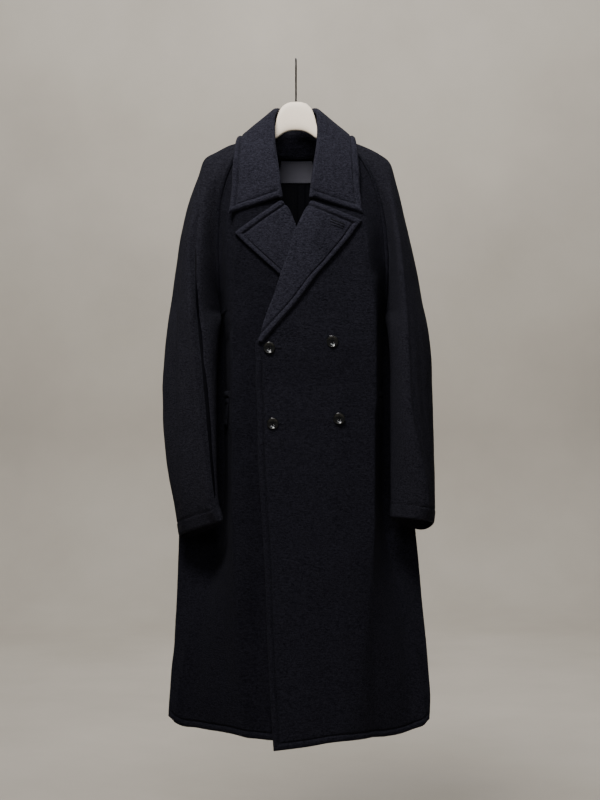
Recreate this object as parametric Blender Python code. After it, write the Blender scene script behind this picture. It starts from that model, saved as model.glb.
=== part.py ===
"""A long double-breasted raglan coat in heavy felted wool, hanging buttoned on a cream hanger.

Each piece of cloth is a closed wall, worked out from sections at a few levels. All tables are in
millimetres, with the origin where the hook rests on its rail: +X to the viewer's right, -Y to the
viewer and +Z up. The garment's left and right pieces are named as the viewer sees them.
"""

import bpy
import bmesh
import math
import numpy as np
from mathutils import Vector

MM = 0.001

CLOTH = 3.0
LAPEL = 4.5
COLLAR = 4.2
LINING = 0.8
LABEL = 0.8
LINING_LOOSE = 1.4
SEAM = 0.25
SNUG = 0.35
LAPEL_CLEAR = 1.15

ARMPIT = 9
HEM_LEVEL = -1330.0
HEM_EASE_FROM = -950.0
LEFT, RIGHT = -1, 1

BUTTON_RADIUS = 11.4
BUTTON_THICK = 3.6
BUTTON_RIM = 2.4
BUTTON_HOLE = 1.1
BUTTON_STEPS = 20
BUTTON_CLEAR = 0.05
BUTTON_HOLE_OFFSET = 2.5
BUTTON_PLACES = {
    "button_upper_left": (-51.0, -579.0),
    "button_upper_right": (70.5, -567.0),
    "button_lower_left": (-44.5, -725.0),
    "button_lower_right": (83.5, -715.5),
}

WIRE = 1.75
HOOK_RADIUS = 19.0
STEM_FOOT, STEM_TOP = -84.0, -58.0
STEM_CLEAR = 0.35

WOOL = ("wool", (0.012, 0.012, 0.014), 0.95, 0.0)
LINING_CLOTH = ("lining", (0.006, 0.006, 0.007), 0.6, 0.0)
LABEL_CLOTH = ("label", (0.03, 0.03, 0.034), 0.8, 0.0)
HORN = ("button", (0.01, 0.01, 0.011), 0.25, 0.0)
CREAM = ("cream", (0.72, 0.68, 0.6), 0.5, 0.0)
BLACK_WIRE = ("wire", (0.02, 0.02, 0.02), 0.35, 1.0)


def table(names, rows):
    """A table's columns by name."""
    return dict(zip(names.split(), np.array(rows, float).T))


# The torso's front, a row for each level. seam is where the panel ends: the raglan seam down to the
# armpit, then the side seam. turn and foot are where the panel starts and stops turning back behind
# the sleeve, and crown is the depth of its middle.
TORSO = table(
    "z crown seam_l seam_r seam_y turn_l turn_r foot_l foot_r foot_y",
    (
        (-178, -50, 96, 106, -38, 56, 60, 96, 106, -38),
        (-193, -57, 117, 124, -41, 68, 72, 117, 124, -41),
        (-219, -65, 133, 142, -44, 84, 90, 133, 142, -44),
        (-246, -71, 144, 155, -44, 98, 106, 144, 155, -44),
        (-286, -78, 154, 168, -41, 106, 118, 154, 168, -41),
        (-329, -83, 158, 177, -36, 112, 130, 158, 177, -36),
        (-374, -86, 160, 182, -30, 114, 138, 160, 182, -30),
        (-420, -88, 159, 184, -22, 116, 142, 159, 184, -22),
        (-463, -90, 157, 184, -3, 118, 146, 157, 184, -3),
        (-503, -91, 153, 182, 20, 120, 150, 153, 182, 20),
        (-545, -92, 170, 200, 42, 121, 152, 146, 176, 36),
        (-600, -92, 195, 214, 50, 122, 152, 147, 177, 40),
        (-660, -92, 210, 222, 54, 122, 152, 147, 177, 42),
        (-720, -93, 220, 228, 56, 122, 152, 147, 177, 43),
        (-780, -93, 228, 234, 58, 122, 152, 147, 177, 44),
        (-840, -94, 234, 238, 58, 122, 152, 147, 177, 44),
        (-900, -94, 237, 241, 58, 122, 151, 148, 178, 43),
        (-950, -95, 239, 244, 55, 121, 150, 152, 182, 37),
        (-1000, -96, 240, 249, 49, 119, 146, 165, 195, 26),
        (-1060, -97, 241, 253, 39, 116, 140, 185, 212, 12),
        (-1120, -98, 243, 258, 29, 110, 132, 205, 226, 4),
        (-1180, -100, 246, 263, 20, 104, 124, 220, 240, 0),
        (-1240, -102, 251, 267, 13, 98, 116, 232, 250, -3),
        (-1290, -103, 254, 270, 8, 92, 110, 240, 256, -5),
        (HEM_LEVEL, -104, 256, 268, 6, 88, 104, 244, 258, -6),
    ),
)

# The back's raglan edge down to the armpit, and the depth of its middle from there to the hem.
BACK_EDGE = table(
    "z left right y",
    (
        (-168, 76, 78, 34),
        (-186, 102, 104, 40),
        (-212, 119, 123, 46),
        (-240, 132, 139, 52),
        (-282, 145, 154, 57),
        (-326, 151, 164, 59),
        (-372, 154, 172, 58),
        (-418, 156, 178, 53),
        (-462, 156, 181, 42),
        (-503, 153, 182, 20),
    ),
)
BACK_DEPTH = table(
    "row depth",
    (
        (0, 52),
        (1, 60),
        (2, 68),
        (3, 74),
        (5, 83),
        (9, 89),
        (12, 91),
        (16, 93),
        (20, 98),
        (24, 104),
    ),
)

# Soft folds that hang in the fronts and the back: where each starts and ends, how wide and how high.
FOLDS = table(
    "x_top z_top x_low z_low width height",
    (
        (-138, -330, -132, -560, 15, 5.0),
        (-116, -400, -112, -640, 12, -6.0),
        (-96, -700, -104, -1150, 20, 5.0),
        (-142, -860, -138, -1290, 14, -8.0),
        (-176, -1010, -180, -1345, 20, 8.0),
        (-70, -980, -76, -1345, 16, -4.0),
        (128, -300, 136, -700, 17, 5.0),
        (104, -640, 100, -1000, 22, -4.0),
        (150, -930, 158, -1345, 17, -7.0),
        (196, -1010, 204, -1345, 20, 7.0),
        (60, -1000, 66, -1345, 26, -4.0),
    ),
)
BACK_FOLDS = table(
    "x_top z_top x_low z_low width height",
    (
        (-96, -300, -108, -1345, 22, 7.0),
        (-58, -420, -66, -1345, 18, -7.0),
        (0, -520, 4, -1345, 26, 6.0),
        (64, -400, 70, -1345, 18, -7.0),
        (104, -300, 118, -1345, 22, 7.0),
        (-170, -700, -182, -1345, 18, -7.0),
        (176, -700, 190, -1345, 18, -7.0),
    ),
)

# The neck seam from the notch to the middle of the back, the same on both sides.
NECK = table(
    "x y z",
    (
        (28, -76, -290),
        (56, -69, -246),
        (76, -62, -214),
        (89, -51, -192),
        (93, -38, -177),
        (92, -22, -168.5),
        (87, -4, -163),
        (82, 16, -164.5),
        (77, 34, -168),
        (42, 48, -182),
        (0, 52, -186),
    ),
)
NECK_FRONT_ROWS = 5

# Where each front is turned out: the roll line and the lapel's edge, from the top button to the notch.
OVERLAP_LAPEL = table(
    "roll_x roll_z edge_x edge_z",
    (
        (-69.5, -566, -64, -569),
        (-63, -540, -46, -547),
        (-54, -512, -22, -519),
        (-42, -482, 5, -488),
        (-28, -437, 42, -438),
        (-14, -397, 76, -399),
        (-2, -358, 104, -366),
        (9, -331, 117.5, -347),
        (20, -309, 125, -338),
        (33, -293, 128.5, -331),
    ),
)
UNDERLAP_LAPEL = table(
    "roll_x roll_z edge_x edge_z",
    (
        (88, -564, 83, -567),
        (79, -540, 63, -544),
        (66, -508, 38, -513),
        (50, -470, 4, -473),
        (35, -432, -36, -434),
        (20, -394, -76, -398),
        (5, -358, -104, -372),
        (-6, -330, -113, -363),
        (-16, -308, -118, -358),
        (-31.5, -293, -120, -355),
    ),
)
OVERLAP_EDGE = table(
    "z x",
    ((-566, -77), (-640, -77.5), (-700, -74.5), (-800, -72.5), (-912, -65.5), (-1018, -59.5), (-1110, -56.5),
     (-1240, -49), (-1352, -41)),
)
UNDERLAP_EDGE = table("z x", ((-564, 94), (-800, 92), (-1018, 84), (-1352, 72)))
HEM = {
    LEFT: table(
        "x z",
        ((-256, -1312), (-246, -1321), (-215, -1333), (-170, -1333), (-125, -1331), (-88, -1334),
         (-44, -1336), (80, -1340)),
    ),
    RIGHT: table(
        "x z",
        ((-42, -1355), (8, -1349), (100, -1338), (147, -1340), (176, -1344), (208, -1343), (240, -1335),
         (256, -1329), (268, -1318)),
    ),
}
BACK_HEM = table("x z", ((-256, -1312), (-200, -1318), (0, -1320), (200, -1322), (268, -1318)))

# How far the overlap stands off the underlap: over the turned-out lapel, then over one panel.
LAP = table("z offset", ((-220, 0), (-290, 3), (-350, 12.5), (-575, 12.5), (-655, 6.5), (-1360, 6.5)))
LAP_FADE = 48.0
TURN_SHARE, FOOT_SHARE = 0.4, 0.6
LEAST_TURN, LEAST_FOOT = 8.0, 2.0

# Sleeves, a row for each level: front crest c, outer edge t (the shoulder's ridge at the top) and
# back crest d. Rows 0 to 8 lie between the raglan seams, and from row 9 the sleeve is a tube.
SLEEVES = {
    LEFT: table(
        "cx cy cz tx ty tz dx dy dz",
        (
            (-94, -22, -168, -87, -4, -163, -82, 16, -164),
            (-112, -26, -178, -108, -5, -166, -102, 17, -170),
            (-133, -32, -195, -132, -7, -172, -126, 18, -182),
            (-152, -38, -214, -157, -9, -185, -149, 20, -198),
            (-169, -46, -242, -183, -12, -202, -172, 24, -222),
            (-180, -54, -280, -195, -14, -239, -188, 28, -256),
            (-187, -62, -330, -213, -15, -290, -203, 30, -302),
            (-192, -70, -384, -227, -15, -348, -214, 30, -354),
            (-194, -76, -442, -236.5, -15, -414, -222, 28, -418),
            (-193, -81, -500, -246, -15, -482, -227, 25, -484),
            (-189, -84, -545, -255.5, -18, -545, -228, 25, -545),
            (-183, -86, -600, -260, -20, -600, -229, 26, -600),
            (-177, -87, -660, -263, -20, -660, -230, 27, -660),
            (-172, -87, -720, -262, -19, -720, -230, 28, -720),
            (-169, -86, -780, -257.5, -18, -780, -228, 28, -780),
            (-165, -85, -835, -249.5, -16, -837, -223, 28, -839),
            (-160, -84, -876, -240.5, -13, -882, -218, 29, -886),
            (-155, -82, -898, -235.5, -9, -912, -215, 30, -918),
            (-151, -80, -917, -229, -3, -948, -212, 30, -955),
        ),
    ),
    RIGHT: table(
        "cx cy cz tx ty tz dx dy dz",
        (
            (100, -22, -168, 88, -4, -163, 84, 16, -164),
            (117, -26, -178, 112, -5, -166, 106, 17, -171),
            (141, -32, -197, 139, -8, -176, 132, 18, -185),
            (160, -38, -215, 164, -10, -189, 155, 20, -200),
            (176, -46, -244, 186, -12, -207, 176, 24, -225),
            (188, -54, -282, 197, -14, -241, 190, 28, -257),
            (196, -62, -332, 210, -15, -291, 201, 30, -303),
            (203, -70, -386, 223.5, -15, -348, 212, 30, -354),
            (208, -76, -444, 238, -15, -414, 222, 28, -418),
            (212, -81, -502, 251, -15, -484, 231, 25, -486),
            (214, -85, -545, 263.5, -18, -545, 237, 25, -545),
            (217, -87, -600, 269, -18, -600, 241, 26, -600),
            (220, -88, -660, 271, -18, -660, 241, 27, -660),
            (224, -88, -720, 273, -16, -720, 240, 28, -720),
            (233, -86, -780, 274.5, -14, -780, 238, 29, -780),
            (243, -83, -835, 276, -10, -836, 236, 30, -838),
            (248, -79, -876, 276, -7, -880, 238, 32, -884),
            (250, -75, -894, 276, -4, -904, 242, 34, -914),
            (247, -72, -914, 275, 0, -928, 246, 36, -941),
        ),
    ),
}
INNER = {
    LEFT: table(
        "row x y z",
        ((9, -153.4, 20, -503), (9.35, -150.5, 8, -516), (10, -152.5, -12, -545), (12, -157.5, -22, -660),
         (14, -158, -24, -780), (16, -156, -26, -876), (17, -152, -28, -900), (18, -147, -30, -921)),
    ),
    RIGHT: table(
        "row x y z",
        ((9, 182.4, 20, -503), (9.35, 179.5, 8, -516), (10, 182.5, -12, -545), (12, 187, -22, -660),
         (14, 187, -24, -780), (16, 187.5, -24, -876), (17, 187.5, -24, -896), (18, 187, -24, -914)),
    ),
}
SLEEVE_ROUND = 1.3

# The collar from the notch round to the middle of the back: where it rolls over, and its outer edge.
COLLAR_SECTIONS = table(
    "neck roll_x roll_y roll_z edge_x edge_y edge_z",
    (
        (0.0, 27.5, -90, -285, 131, -79, -316),
        (0.35, 28.5, -88, -270, 128.5, -76, -296),
        (1.0, 30, -84, -247, 125.5, -72, -268),
        (2.0, 35, -71, -211, 124, -66, -227),
        (3.0, 40.5, -51, -167, 122, -50, -192),
        (4.6, 43, -20, -117, 120, -28, -169),
        (6.0, 37, 14, -95, 116, 2, -158.5),
        (8.0, 27, 38, -91, 104, 44, -171),
        (9.0, 14, 50, -90, 62, 70, -194),
        (10.0, 0, 54, -90, 0, 77, -201),
    ),
)
ROLL_RADIUS = 6.5
QUARTER = math.pi / 2
STAND_SET_IN = (-0.4, 4.4, 0.0)
STAND_CLEAR = 2.2

# A corded edge: height by distance from the edge, and the columns and levels that carry it.
CORD = table("distance height", ((0, -1.0), (2.5, 0.4), (6.5, 0.9), (10.5, 0.3), (13, -0.9), (16, 0.0)))
CORD_COLUMNS = np.array((5.0, 12.5, 17.0))
LAPEL_CORD = np.array((17.0, 12.5, 6.0))
LAPEL_CORD_MOST = np.array((0.6, 0.45, 0.22))
CORD_STARTS, CORD_FULL = -590.0, -610.0
LAPEL_LIFT, LAPEL_BELLY = 0.6, 5.5

# Pocket and neck label places, counted along the rows and columns of the piece they are sewn to.
WELT_ROWS = (12.06, 12.24)
FLAP_ROWS = (12.27, 12.6, 13.0, 13.2)
WELT_RAISED = 0.8
POCKET_COLUMNS = (9.0, 9.5, 10.0, 10.5, 11.0, 11.2)
FLAP_SLANT = 0.9
POCKET_THICK = 2.6
LABEL_ROWS = (0.45, 1.0, 1.85)
LABEL_COLUMNS = (1.75, 2.0, 3.0, 4.0, 5.0, 6.0, 6.2)

# The hanger along X: depth and height of its section.
HANGER = table(
    "x low half_depth top",
    (
        (0, -141, 6.5, -84),
        (14, -142.5, 6.5, -85.5),
        (25, -147, 6.5, -91.5),
        (33, -152.5, 6.5, -102),
        (38, -156.5, 6.5, -116),
        (42, -158, 7.0, -134),
        (50, -166, 8.0, -147),
        (62, -174, 8.5, -154.5),
        (77, -181, 9.0, -162.5),
        (90, -186, 9.0, -168.4),
        (120, -193, 9.0, -174.5),
        (150, -203, 9.5, -186.0),
        (170, -212, 10.0, -199.0),
        (176, -215, 8.0, -205.0),
    ),
)
ARMS_FORWARD, ARMS_FROM = -8.0, 120.0
HEAD_BOXY = 0.6


def ease(t):
    t = np.clip(t, 0.0, 1.0)
    return t * t * (3.0 - 2.0 * t)


def follow(keys, values, at, level_end=False):
    """A smooth curve through a table's values, without overshoot. level_end makes it arrive level."""
    keys = np.asarray(keys, float)
    values = np.asarray(values, float)
    if keys[0] > keys[-1]:
        keys, values = keys[::-1], values[::-1]
    at = np.clip(np.asarray(at, float), keys[0], keys[-1])
    gaps = np.diff(keys)
    slopes = np.diff(values) / gaps
    tangents = np.empty(len(keys))
    tangents[0], tangents[-1] = slopes[0], (0.0 if level_end else slopes[-1])
    before, after = slopes[:-1], slopes[1:]
    mean = (before * gaps[1:] + after * gaps[:-1]) / (gaps[1:] + gaps[:-1])
    most = 3.0 * np.minimum(abs(before), abs(after))
    tangents[1:-1] = np.where(before * after > 0, np.sign(mean) * np.minimum(abs(mean), most), 0.0)
    i = np.clip(np.searchsorted(keys, at, side="right") - 1, 0, len(gaps) - 1)
    t = (at - keys[i]) / gaps[i]
    return (
        (2 * t**3 - 3 * t**2 + 1) * values[i]
        + (t**3 - 2 * t**2 + t) * gaps[i] * tangents[i]
        + (3 * t**2 - 2 * t**3) * values[i + 1]
        + (t**3 - t**2) * gaps[i] * tangents[i + 1]
    )


def unit(vectors):
    return vectors / np.maximum(np.linalg.norm(vectors, axis=-1, keepdims=True), 1e-9)


def point(x, y, z):
    return np.stack(np.broadcast_arrays(np.asarray(x, float), y, z), axis=-1)


def folds_at(folds, x, z):
    """How far the folds stand out at a place, fading in at each end."""
    total = np.zeros(np.broadcast(x, z).shape)
    for x_top, z_top, x_low, z_low, width, height in zip(*folds.values()):
        along = (z_top - z) / (z_top - z_low)
        middle = x_top + (x_low - x_top) * np.clip(along, 0.0, 1.0)
        fade_out = 1.0 if z_low < -1340 else ease((1.0 - along) * 4.0)
        total = total + height * np.exp(-(((x - middle) / width) ** 2)) * ease(along * 4.0) * fade_out
    return total


def torso(name, z):
    return follow(TORSO["z"], TORSO[name], z)


def torso_front(x, z):
    """Depth of the fronts' outer face, without the lap of one front over the other."""
    x, z = np.broadcast_arrays(np.asarray(x, float), np.asarray(z, float))
    left = x < 0
    reach = abs(x)
    turn = np.where(left, torso("turn_l", z), torso("turn_r", z))
    foot = np.where(left, torso("foot_l", z), torso("foot_r", z))
    seam = np.where(left, torso("seam_l", z), torso("seam_r", z))
    turned = ease((reach - turn) / (foot - turn))
    crown = torso("crown", z) + 7.0 * (np.minimum(reach, foot) / turn) ** 3
    beyond = np.clip((reach - foot) / np.maximum(seam - foot, 1.0), 0.0, 1.0)
    side = torso("foot_y", z) + (torso("seam_y", z) - torso("foot_y", z)) * beyond
    fade = 1.0 - 0.55 * ease((-900.0 - z) / 120.0)
    folded = folds_at(FOLDS, x, z) * (1 - turned * fade) * (1 - beyond) ** 2
    return crown * (1 - turned) + side * turned - folded


def lap_offset(x, z):
    """How far the overlap stands off the plain front."""
    edge = follow(UNDERLAP_EDGE["z"], UNDERLAP_EDGE["x"], z)
    roll = follow(UNDERLAP_LAPEL["roll_z"], UNDERLAP_LAPEL["roll_x"], z)
    start = np.where(z > UNDERLAP_LAPEL["roll_z"][0], np.maximum(roll, 20.0), edge) + 4.0
    return follow(LAP["z"], LAP["offset"], z) * (1.0 - ease((x - start) / LAP_FADE))


def front_face(side, x, z):
    """Depth of the outer face of the left front (the underlap) or the right front (the overlap)."""
    return torso_front(x, z) - (lap_offset(x, z) if side == RIGHT else 0.0)


def front_edge(side, z):
    """Where a front ends towards the opening: the neck seam, then the roll line, then the edge."""
    lapel = OVERLAP_LAPEL if side == RIGHT else UNDERLAP_LAPEL
    below = OVERLAP_EDGE if side == RIGHT else UNDERLAP_EDGE
    neck_z = NECK["z"][:NECK_FRONT_ROWS]
    neck_x = NECK["x"][:NECK_FRONT_ROWS] * side
    neck_x[0] = lapel["roll_x"][-1]
    neck_z = np.append(lapel["roll_z"][-1], neck_z[1:])
    neck = follow(neck_z, neck_x, z)
    roll = follow(lapel["roll_z"], lapel["roll_x"], z)
    edge = follow(below["z"], below["x"], z)
    close = ease((lapel["roll_z"][0] + 14.0 - z) / 22.0)
    return np.where(z > lapel["roll_z"][-1], neck, roll * (1 - close) + edge * close)


def row_level(row):
    return follow(np.arange(len(TORSO["z"])), TORSO["z"], row)


def hem_drop(profile, x, z):
    """The hem isn't level, and the rows just above it follow it more and more."""
    share = ease((HEM_EASE_FROM - z) / (HEM_EASE_FROM - HEM_LEVEL))
    return (follow(profile["x"], profile["z"], x) - HEM_LEVEL) * share


def front_point(side, across, row):
    """A point of a front: across is 0 at the opening, 1 where it turns back, 2 at its foot, 3 at the seam."""
    z = row_level(row)
    tag = "l" if side == LEFT else "r"
    inner = front_edge(side, z)
    turn, foot, seam = (side * torso(name + tag, z) for name in ("turn_", "foot_", "seam_"))
    above = row <= ARMPIT
    foot = np.where(above, turn + (seam - turn) * FOOT_SHARE, foot)
    turn = np.where(side * (turn - inner) < LEAST_TURN, inner + (seam - inner) * TURN_SHARE, turn)
    foot = np.where(side * (foot - turn) < LEAST_FOOT, turn + (seam - turn) * FOOT_SHARE, foot)
    x = np.where(
        across < 1,
        inner + (turn - inner) * across,
        np.where(across < 2, turn + (foot - turn) * (across - 1), foot + (seam - foot) * (across - 2)),
    )
    return point(x, front_face(side, x, z), z + hem_drop(HEM[side], x, z))


def seam_point(side, row):
    return front_point(side, np.float64(3.0), row)


def back_seam_point(side, row):
    """The back's edge: its raglan seam down to the armpit, and the side seam below."""
    rows = np.arange(ARMPIT + 1)
    name = "left" if side == LEFT else "right"
    raglan = point(
        side * follow(rows, BACK_EDGE[name], row),
        follow(rows, BACK_EDGE["y"], row),
        follow(rows, BACK_EDGE["z"], row),
    )
    return np.where(np.asarray(row)[..., None] <= ARMPIT, raglan, seam_point(side, row))


# How soon the back's hem line stops moving the rows toward its side seams.
SEAM_KEPT = 8


def back_point(across, row):
    """A point of the back panel, across from -1 at the left seam to 1 at the right one."""
    left, right = back_seam_point(LEFT, row), back_seam_point(RIGHT, row)
    t = (across + 1.0) / 2.0
    edge = left * (1 - t)[..., None] + right * t[..., None]
    sharp = 2.6 + 3.4 * ease((row - 4.0) / 8.0)
    round_off = 1.0 - abs(across) ** sharp
    depth = follow(BACK_DEPTH["row"], BACK_DEPTH["depth"], row)
    neck = follow(-NECK["x"], NECK["z"], -abs(edge[..., 0]), level_end=True) - edge[..., 2]
    z = edge[..., 2] + neck * (1.0 - ease(row / 3.0)) * (abs(across) < 1)
    low = follow(BACK_HEM["x"], BACK_HEM["z"], edge[..., 0]) - z
    z = z + low * ease((row - 21.0) / 3.0) * (1.0 - abs(across) ** SEAM_KEPT)
    y = edge[..., 1] + (depth - edge[..., 1]) * round_off
    return point(edge[..., 0], y + folds_at(BACK_FOLDS, edge[..., 0], z) * round_off, z)


def sleeve_point(side, around, row):
    """A point of a sleeve: around is 0 at the front seam, 1 at its crest, 2 outside, 3 behind, 4 at the back."""
    sections = SLEEVES[side]
    rows = np.arange(len(sections["cx"]))
    crest, outer, behind = (
        point(*(follow(rows, sections[name + axis], row) for axis in "xyz")) for name in "ctd"
    )
    inner = point(*(follow(INNER[side]["row"], INNER[side][axis], row) for axis in "xyz"))
    tube = (np.asarray(row) >= ARMPIT)[..., None]
    front = np.where(tube, inner, seam_point(side, np.minimum(row, ARMPIT)))
    back = np.where(tube, inner, back_seam_point(side, np.minimum(row, ARMPIT)))
    stops = np.stack([front, crest, outer, behind, back])
    half = 0.5 * SLEEVE_ROUND
    closing = ease((np.asarray(row, float) - 7.0) / 3.0)[..., None]
    round_inside = half * (crest - behind) * np.array([0.2, 1.0, 1.0])
    start = (1 - closing) * (crest - front) * 0.9 + closing * round_inside
    end = (1 - closing) * (back - behind) * 0.9 + closing * round_inside
    lean = np.stack([start, half * (outer - front), half * (behind - crest), half * (back - outer), end])
    i = np.clip(np.floor(around).astype(int), 0, 3)
    t = (around - i)[..., None]
    where = np.indices(i.shape)
    a, b = stops[(i, *where)], stops[(i + 1, *where)]
    p, q = lean[(i, *where)], lean[(i + 1, *where)]
    spot = (2 * t**3 - 3 * t**2 + 1) * a + (t**3 - 2 * t**2 + t) * p
    return spot + (3 * t**2 - 2 * t**3) * b + (t**3 - t**2) * q


def facing(grid, toward):
    """Unit normals of a grid of points, on the side where its middle column faces toward."""
    normals = unit(np.cross(np.gradient(grid, axis=1), np.gradient(grid, axis=0)))
    return normals * np.sign(np.mean(normals[:, grid.shape[1] // 2] @ np.array(toward, float)))


def cord_height(distance):
    """The edge is turned in and stitched, which leaves a thick roll beyond a groove."""
    return follow(CORD["distance"], CORD["height"], distance)


def shrink(grid, edges, by=SEAM):
    """The grid with the named edges drawn in a little, so that pieces stay apart at a seam."""
    grid = grid.copy()
    for edge in edges:
        line, nearby = {
            "first": (grid[:, 0], grid[:, 1]),
            "last": (grid[:, -1], grid[:, -2]),
            "top": (grid[0], grid[1]),
            "bottom": (grid[-1], grid[-2]),
        }[edge]
        line += unit(nearby - line) * by
    return grid


def material(name, colour, rough, metal):
    found = bpy.data.materials.get(name)
    if found:
        return found
    made = bpy.data.materials.new(name)
    made.use_nodes = True
    shader = made.node_tree.nodes["Principled BSDF"]
    shader.inputs["Base Color"].default_value = (*colour, 1.0)
    shader.inputs["Roughness"].default_value = rough
    shader.inputs["Metallic"].default_value = metal
    return made


def add_object(name, mesh, finish):
    made = bpy.data.objects.new(name, mesh)
    mesh.materials.append(material(*finish))
    mesh.shade_smooth()
    mesh.set_sharp_from_angle(angle=math.radians(40))
    bpy.context.scene.collection.objects.link(made)
    return made


def add_solid(name, points, faces, finish):
    """A closed mesh from points in millimetres, facing out."""
    build = bmesh.new()
    corners = [build.verts.new(Vector(p) * MM) for p in points]
    for face in faces:
        build.faces.new([corners[i] for i in face])
    bmesh.ops.recalc_face_normals(build, faces=build.faces)
    mesh = bpy.data.meshes.new(name)
    build.to_mesh(mesh)
    build.free()
    return add_object(name, mesh, finish)


def add_wall(name, outer, inner, finish, joined_from=None):
    """A wall between two grids of points. From row joined_from its first and last columns are one."""
    rows, columns = outer.shape[:2]
    number = np.arange(rows * columns).reshape(rows, columns)
    if joined_from is not None:
        number[joined_from:, -1] = number[joined_from:, 0]
    used, number = np.unique(number, return_inverse=True)
    number = number.reshape(rows, columns)
    count = len(used)
    points = np.concatenate([outer.reshape(-1, 3)[used], inner.reshape(-1, 3)[used]])
    quads = [
        (number[r, c], number[r, c + 1], number[r + 1, c + 1], number[r + 1, c])
        for r in range(rows - 1)
        for c in range(columns - 1)
    ]
    sides = {}
    for quad in quads:
        for a, b in zip(quad, quad[1:] + quad[:1]):
            sides[frozenset((a, b))] = None if frozenset((a, b)) in sides else (a, b)
    rims = [(b, a, a + count, b + count) for a, b in filter(None, sides.values())]
    backs = [tuple(i + count for i in reversed(quad)) for quad in quads]
    return add_solid(name, points, quads + backs + rims, finish)


def spread(*stretches):
    """Numbers from stretches of (start, end, steps), each end shared with the next start."""
    parts = [np.linspace(start, end, steps, endpoint=False) for start, end, steps in stretches]
    return np.append(np.concatenate(parts), stretches[-1][1])


FRONT_ACROSS = spread((0, 1, 8), (1, 2, 4), (2, 3, 3))
BODY_ROWS = np.arange(25.0)
BACK_ACROSS = np.sin(np.linspace(-1, 1, 21) * math.radians(68)) / math.sin(math.radians(68))
SLEEVE_ROWS = np.arange(19.0)
SLEEVE_AROUND = np.linspace(0, 4, 21)


def front_columns(side, row):
    """Columns of a front row, with three set close to the opening's corded edge below the lapel."""
    across = FRONT_ACROSS.copy()
    z = row_level(row)
    tag = "l" if side == LEFT else "r"
    flat = max(abs(side * torso("turn_" + tag, z) - front_edge(side, z)), 30.0)
    if side == RIGHT and z < CORD_FULL:
        across[1:4] = CORD_COLUMNS / flat
        across[4:8] = np.linspace(across[3], 1.0, 6)[1:5]
    return across


def cloth_grids():
    """Outer points and normals of the body's panels and the sleeves, with normals shared at the seams."""
    grids = {}
    for side, name in ((LEFT, "left_front"), (RIGHT, "right_front")):
        columns = np.array([front_columns(side, row) for row in BODY_ROWS])
        rows = np.repeat(BODY_ROWS[:, None], columns.shape[1], axis=1)
        grids[name] = front_point(side, columns, rows)
    rows, across = np.meshgrid(BODY_ROWS, BACK_ACROSS, indexing="ij")
    grids["back"] = back_point(across, rows)
    for side, name in ((LEFT, "left_sleeve"), (RIGHT, "right_sleeve")):
        rows, around = np.meshgrid(SLEEVE_ROWS, SLEEVE_AROUND, indexing="ij")
        grids[name] = sleeve_point(side, around, rows)
    normals = {
        "left_front": facing(grids["left_front"], (0, -1, 0)),
        "right_front": facing(grids["right_front"], (0, -1, 0)),
        "back": facing(grids["back"], (0, 1, 0)),
        "left_sleeve": facing(grids["left_sleeve"], (LEFT, 0, 0)),
        "right_sleeve": facing(grids["right_sleeve"], (RIGHT, 0, 0)),
    }
    return grids, normals


def share_normals(normals):
    """Makes the normals of neighbours the same along the seams, so that their walls meet evenly."""
    for front, sleeve, back in (("left_front", "left_sleeve", 0), ("right_front", "right_sleeve", -1)):
        front_seam, back_seam = normals[front][:, -1], normals["back"][:, back]
        first, last = normals[sleeve][:, 0], normals[sleeve][:, -1]
        above = slice(0, ARMPIT)
        front_seam[above] = first[above] = unit(front_seam[above] + first[above])
        normals[front][0] = front_seam[0]
        back_seam[above] = last[above] = unit(back_seam[above] + last[above])
        below = slice(ARMPIT, None)
        front_seam[below] = back_seam[below] = unit(front_seam[below] + back_seam[below])
        first[below] = last[below] = unit(first[below] + last[below])


def build_cloth():
    grids, normals = cloth_grids()
    share_normals(normals)
    for name in ("left_front", "right_front", "back"):
        edges = ("first", "last") if name == "back" else ("last",)
        grid = shrink(grids[name], edges)
        outer = grid.copy()
        if name == "right_front":
            outer += normals[name] * edge_roll(grid)[..., None]
        add_wall(name, outer, grid - normals[name] * CLOTH, WOOL)
    for name in ("left_sleeve", "right_sleeve"):
        grid = grids[name].copy()
        above = shrink(grid[: ARMPIT + 1], ("first", "last"), by=2 * SEAM)
        grid[:ARMPIT] = above[:ARMPIT]
        add_wall(name, grid, grid - normals[name] * CLOTH, WOOL, joined_from=ARMPIT)
    return grids, normals


def edge_roll(grid):
    """The overlap's corded edge, below the lapel."""
    steps = np.linalg.norm(np.diff(grid, axis=1), axis=-1)
    distance = np.concatenate([np.zeros((len(grid), 1)), np.cumsum(steps, axis=1)], axis=1)
    return cord_height(distance) * ease((CORD_STARTS - grid[:, :1, 2]) / (CORD_STARTS - CORD_FULL))


def lapel_point(side, across, along):
    """A point of a lapel: across from the roll line to the edge, along from the bottom to the notch."""
    rows = OVERLAP_LAPEL if side == RIGHT else UNDERLAP_LAPEL
    keys = np.linspace(0, 1, len(rows["roll_x"]))
    roll_x, roll_z, edge_x, edge_z = (follow(keys, column, along) for column in rows.values())
    x = roll_x + (edge_x - roll_x) * across
    z = roll_z + (edge_z - roll_z) * across
    if side == RIGHT:
        shown = ease((along - 0.25) / 0.4)
    else:
        shown = ease((-x - 4.0) / 40.0) * ease((along - 0.3) / 0.3)
    lift = LAPEL_LIFT + LAPEL_BELLY * shown * np.sin(math.pi * np.clip(across, 0, 1)) ** 0.8
    return point(x, front_face(side, x, z) - LAPEL - lift - LAPEL_CLEAR, z)


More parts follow.
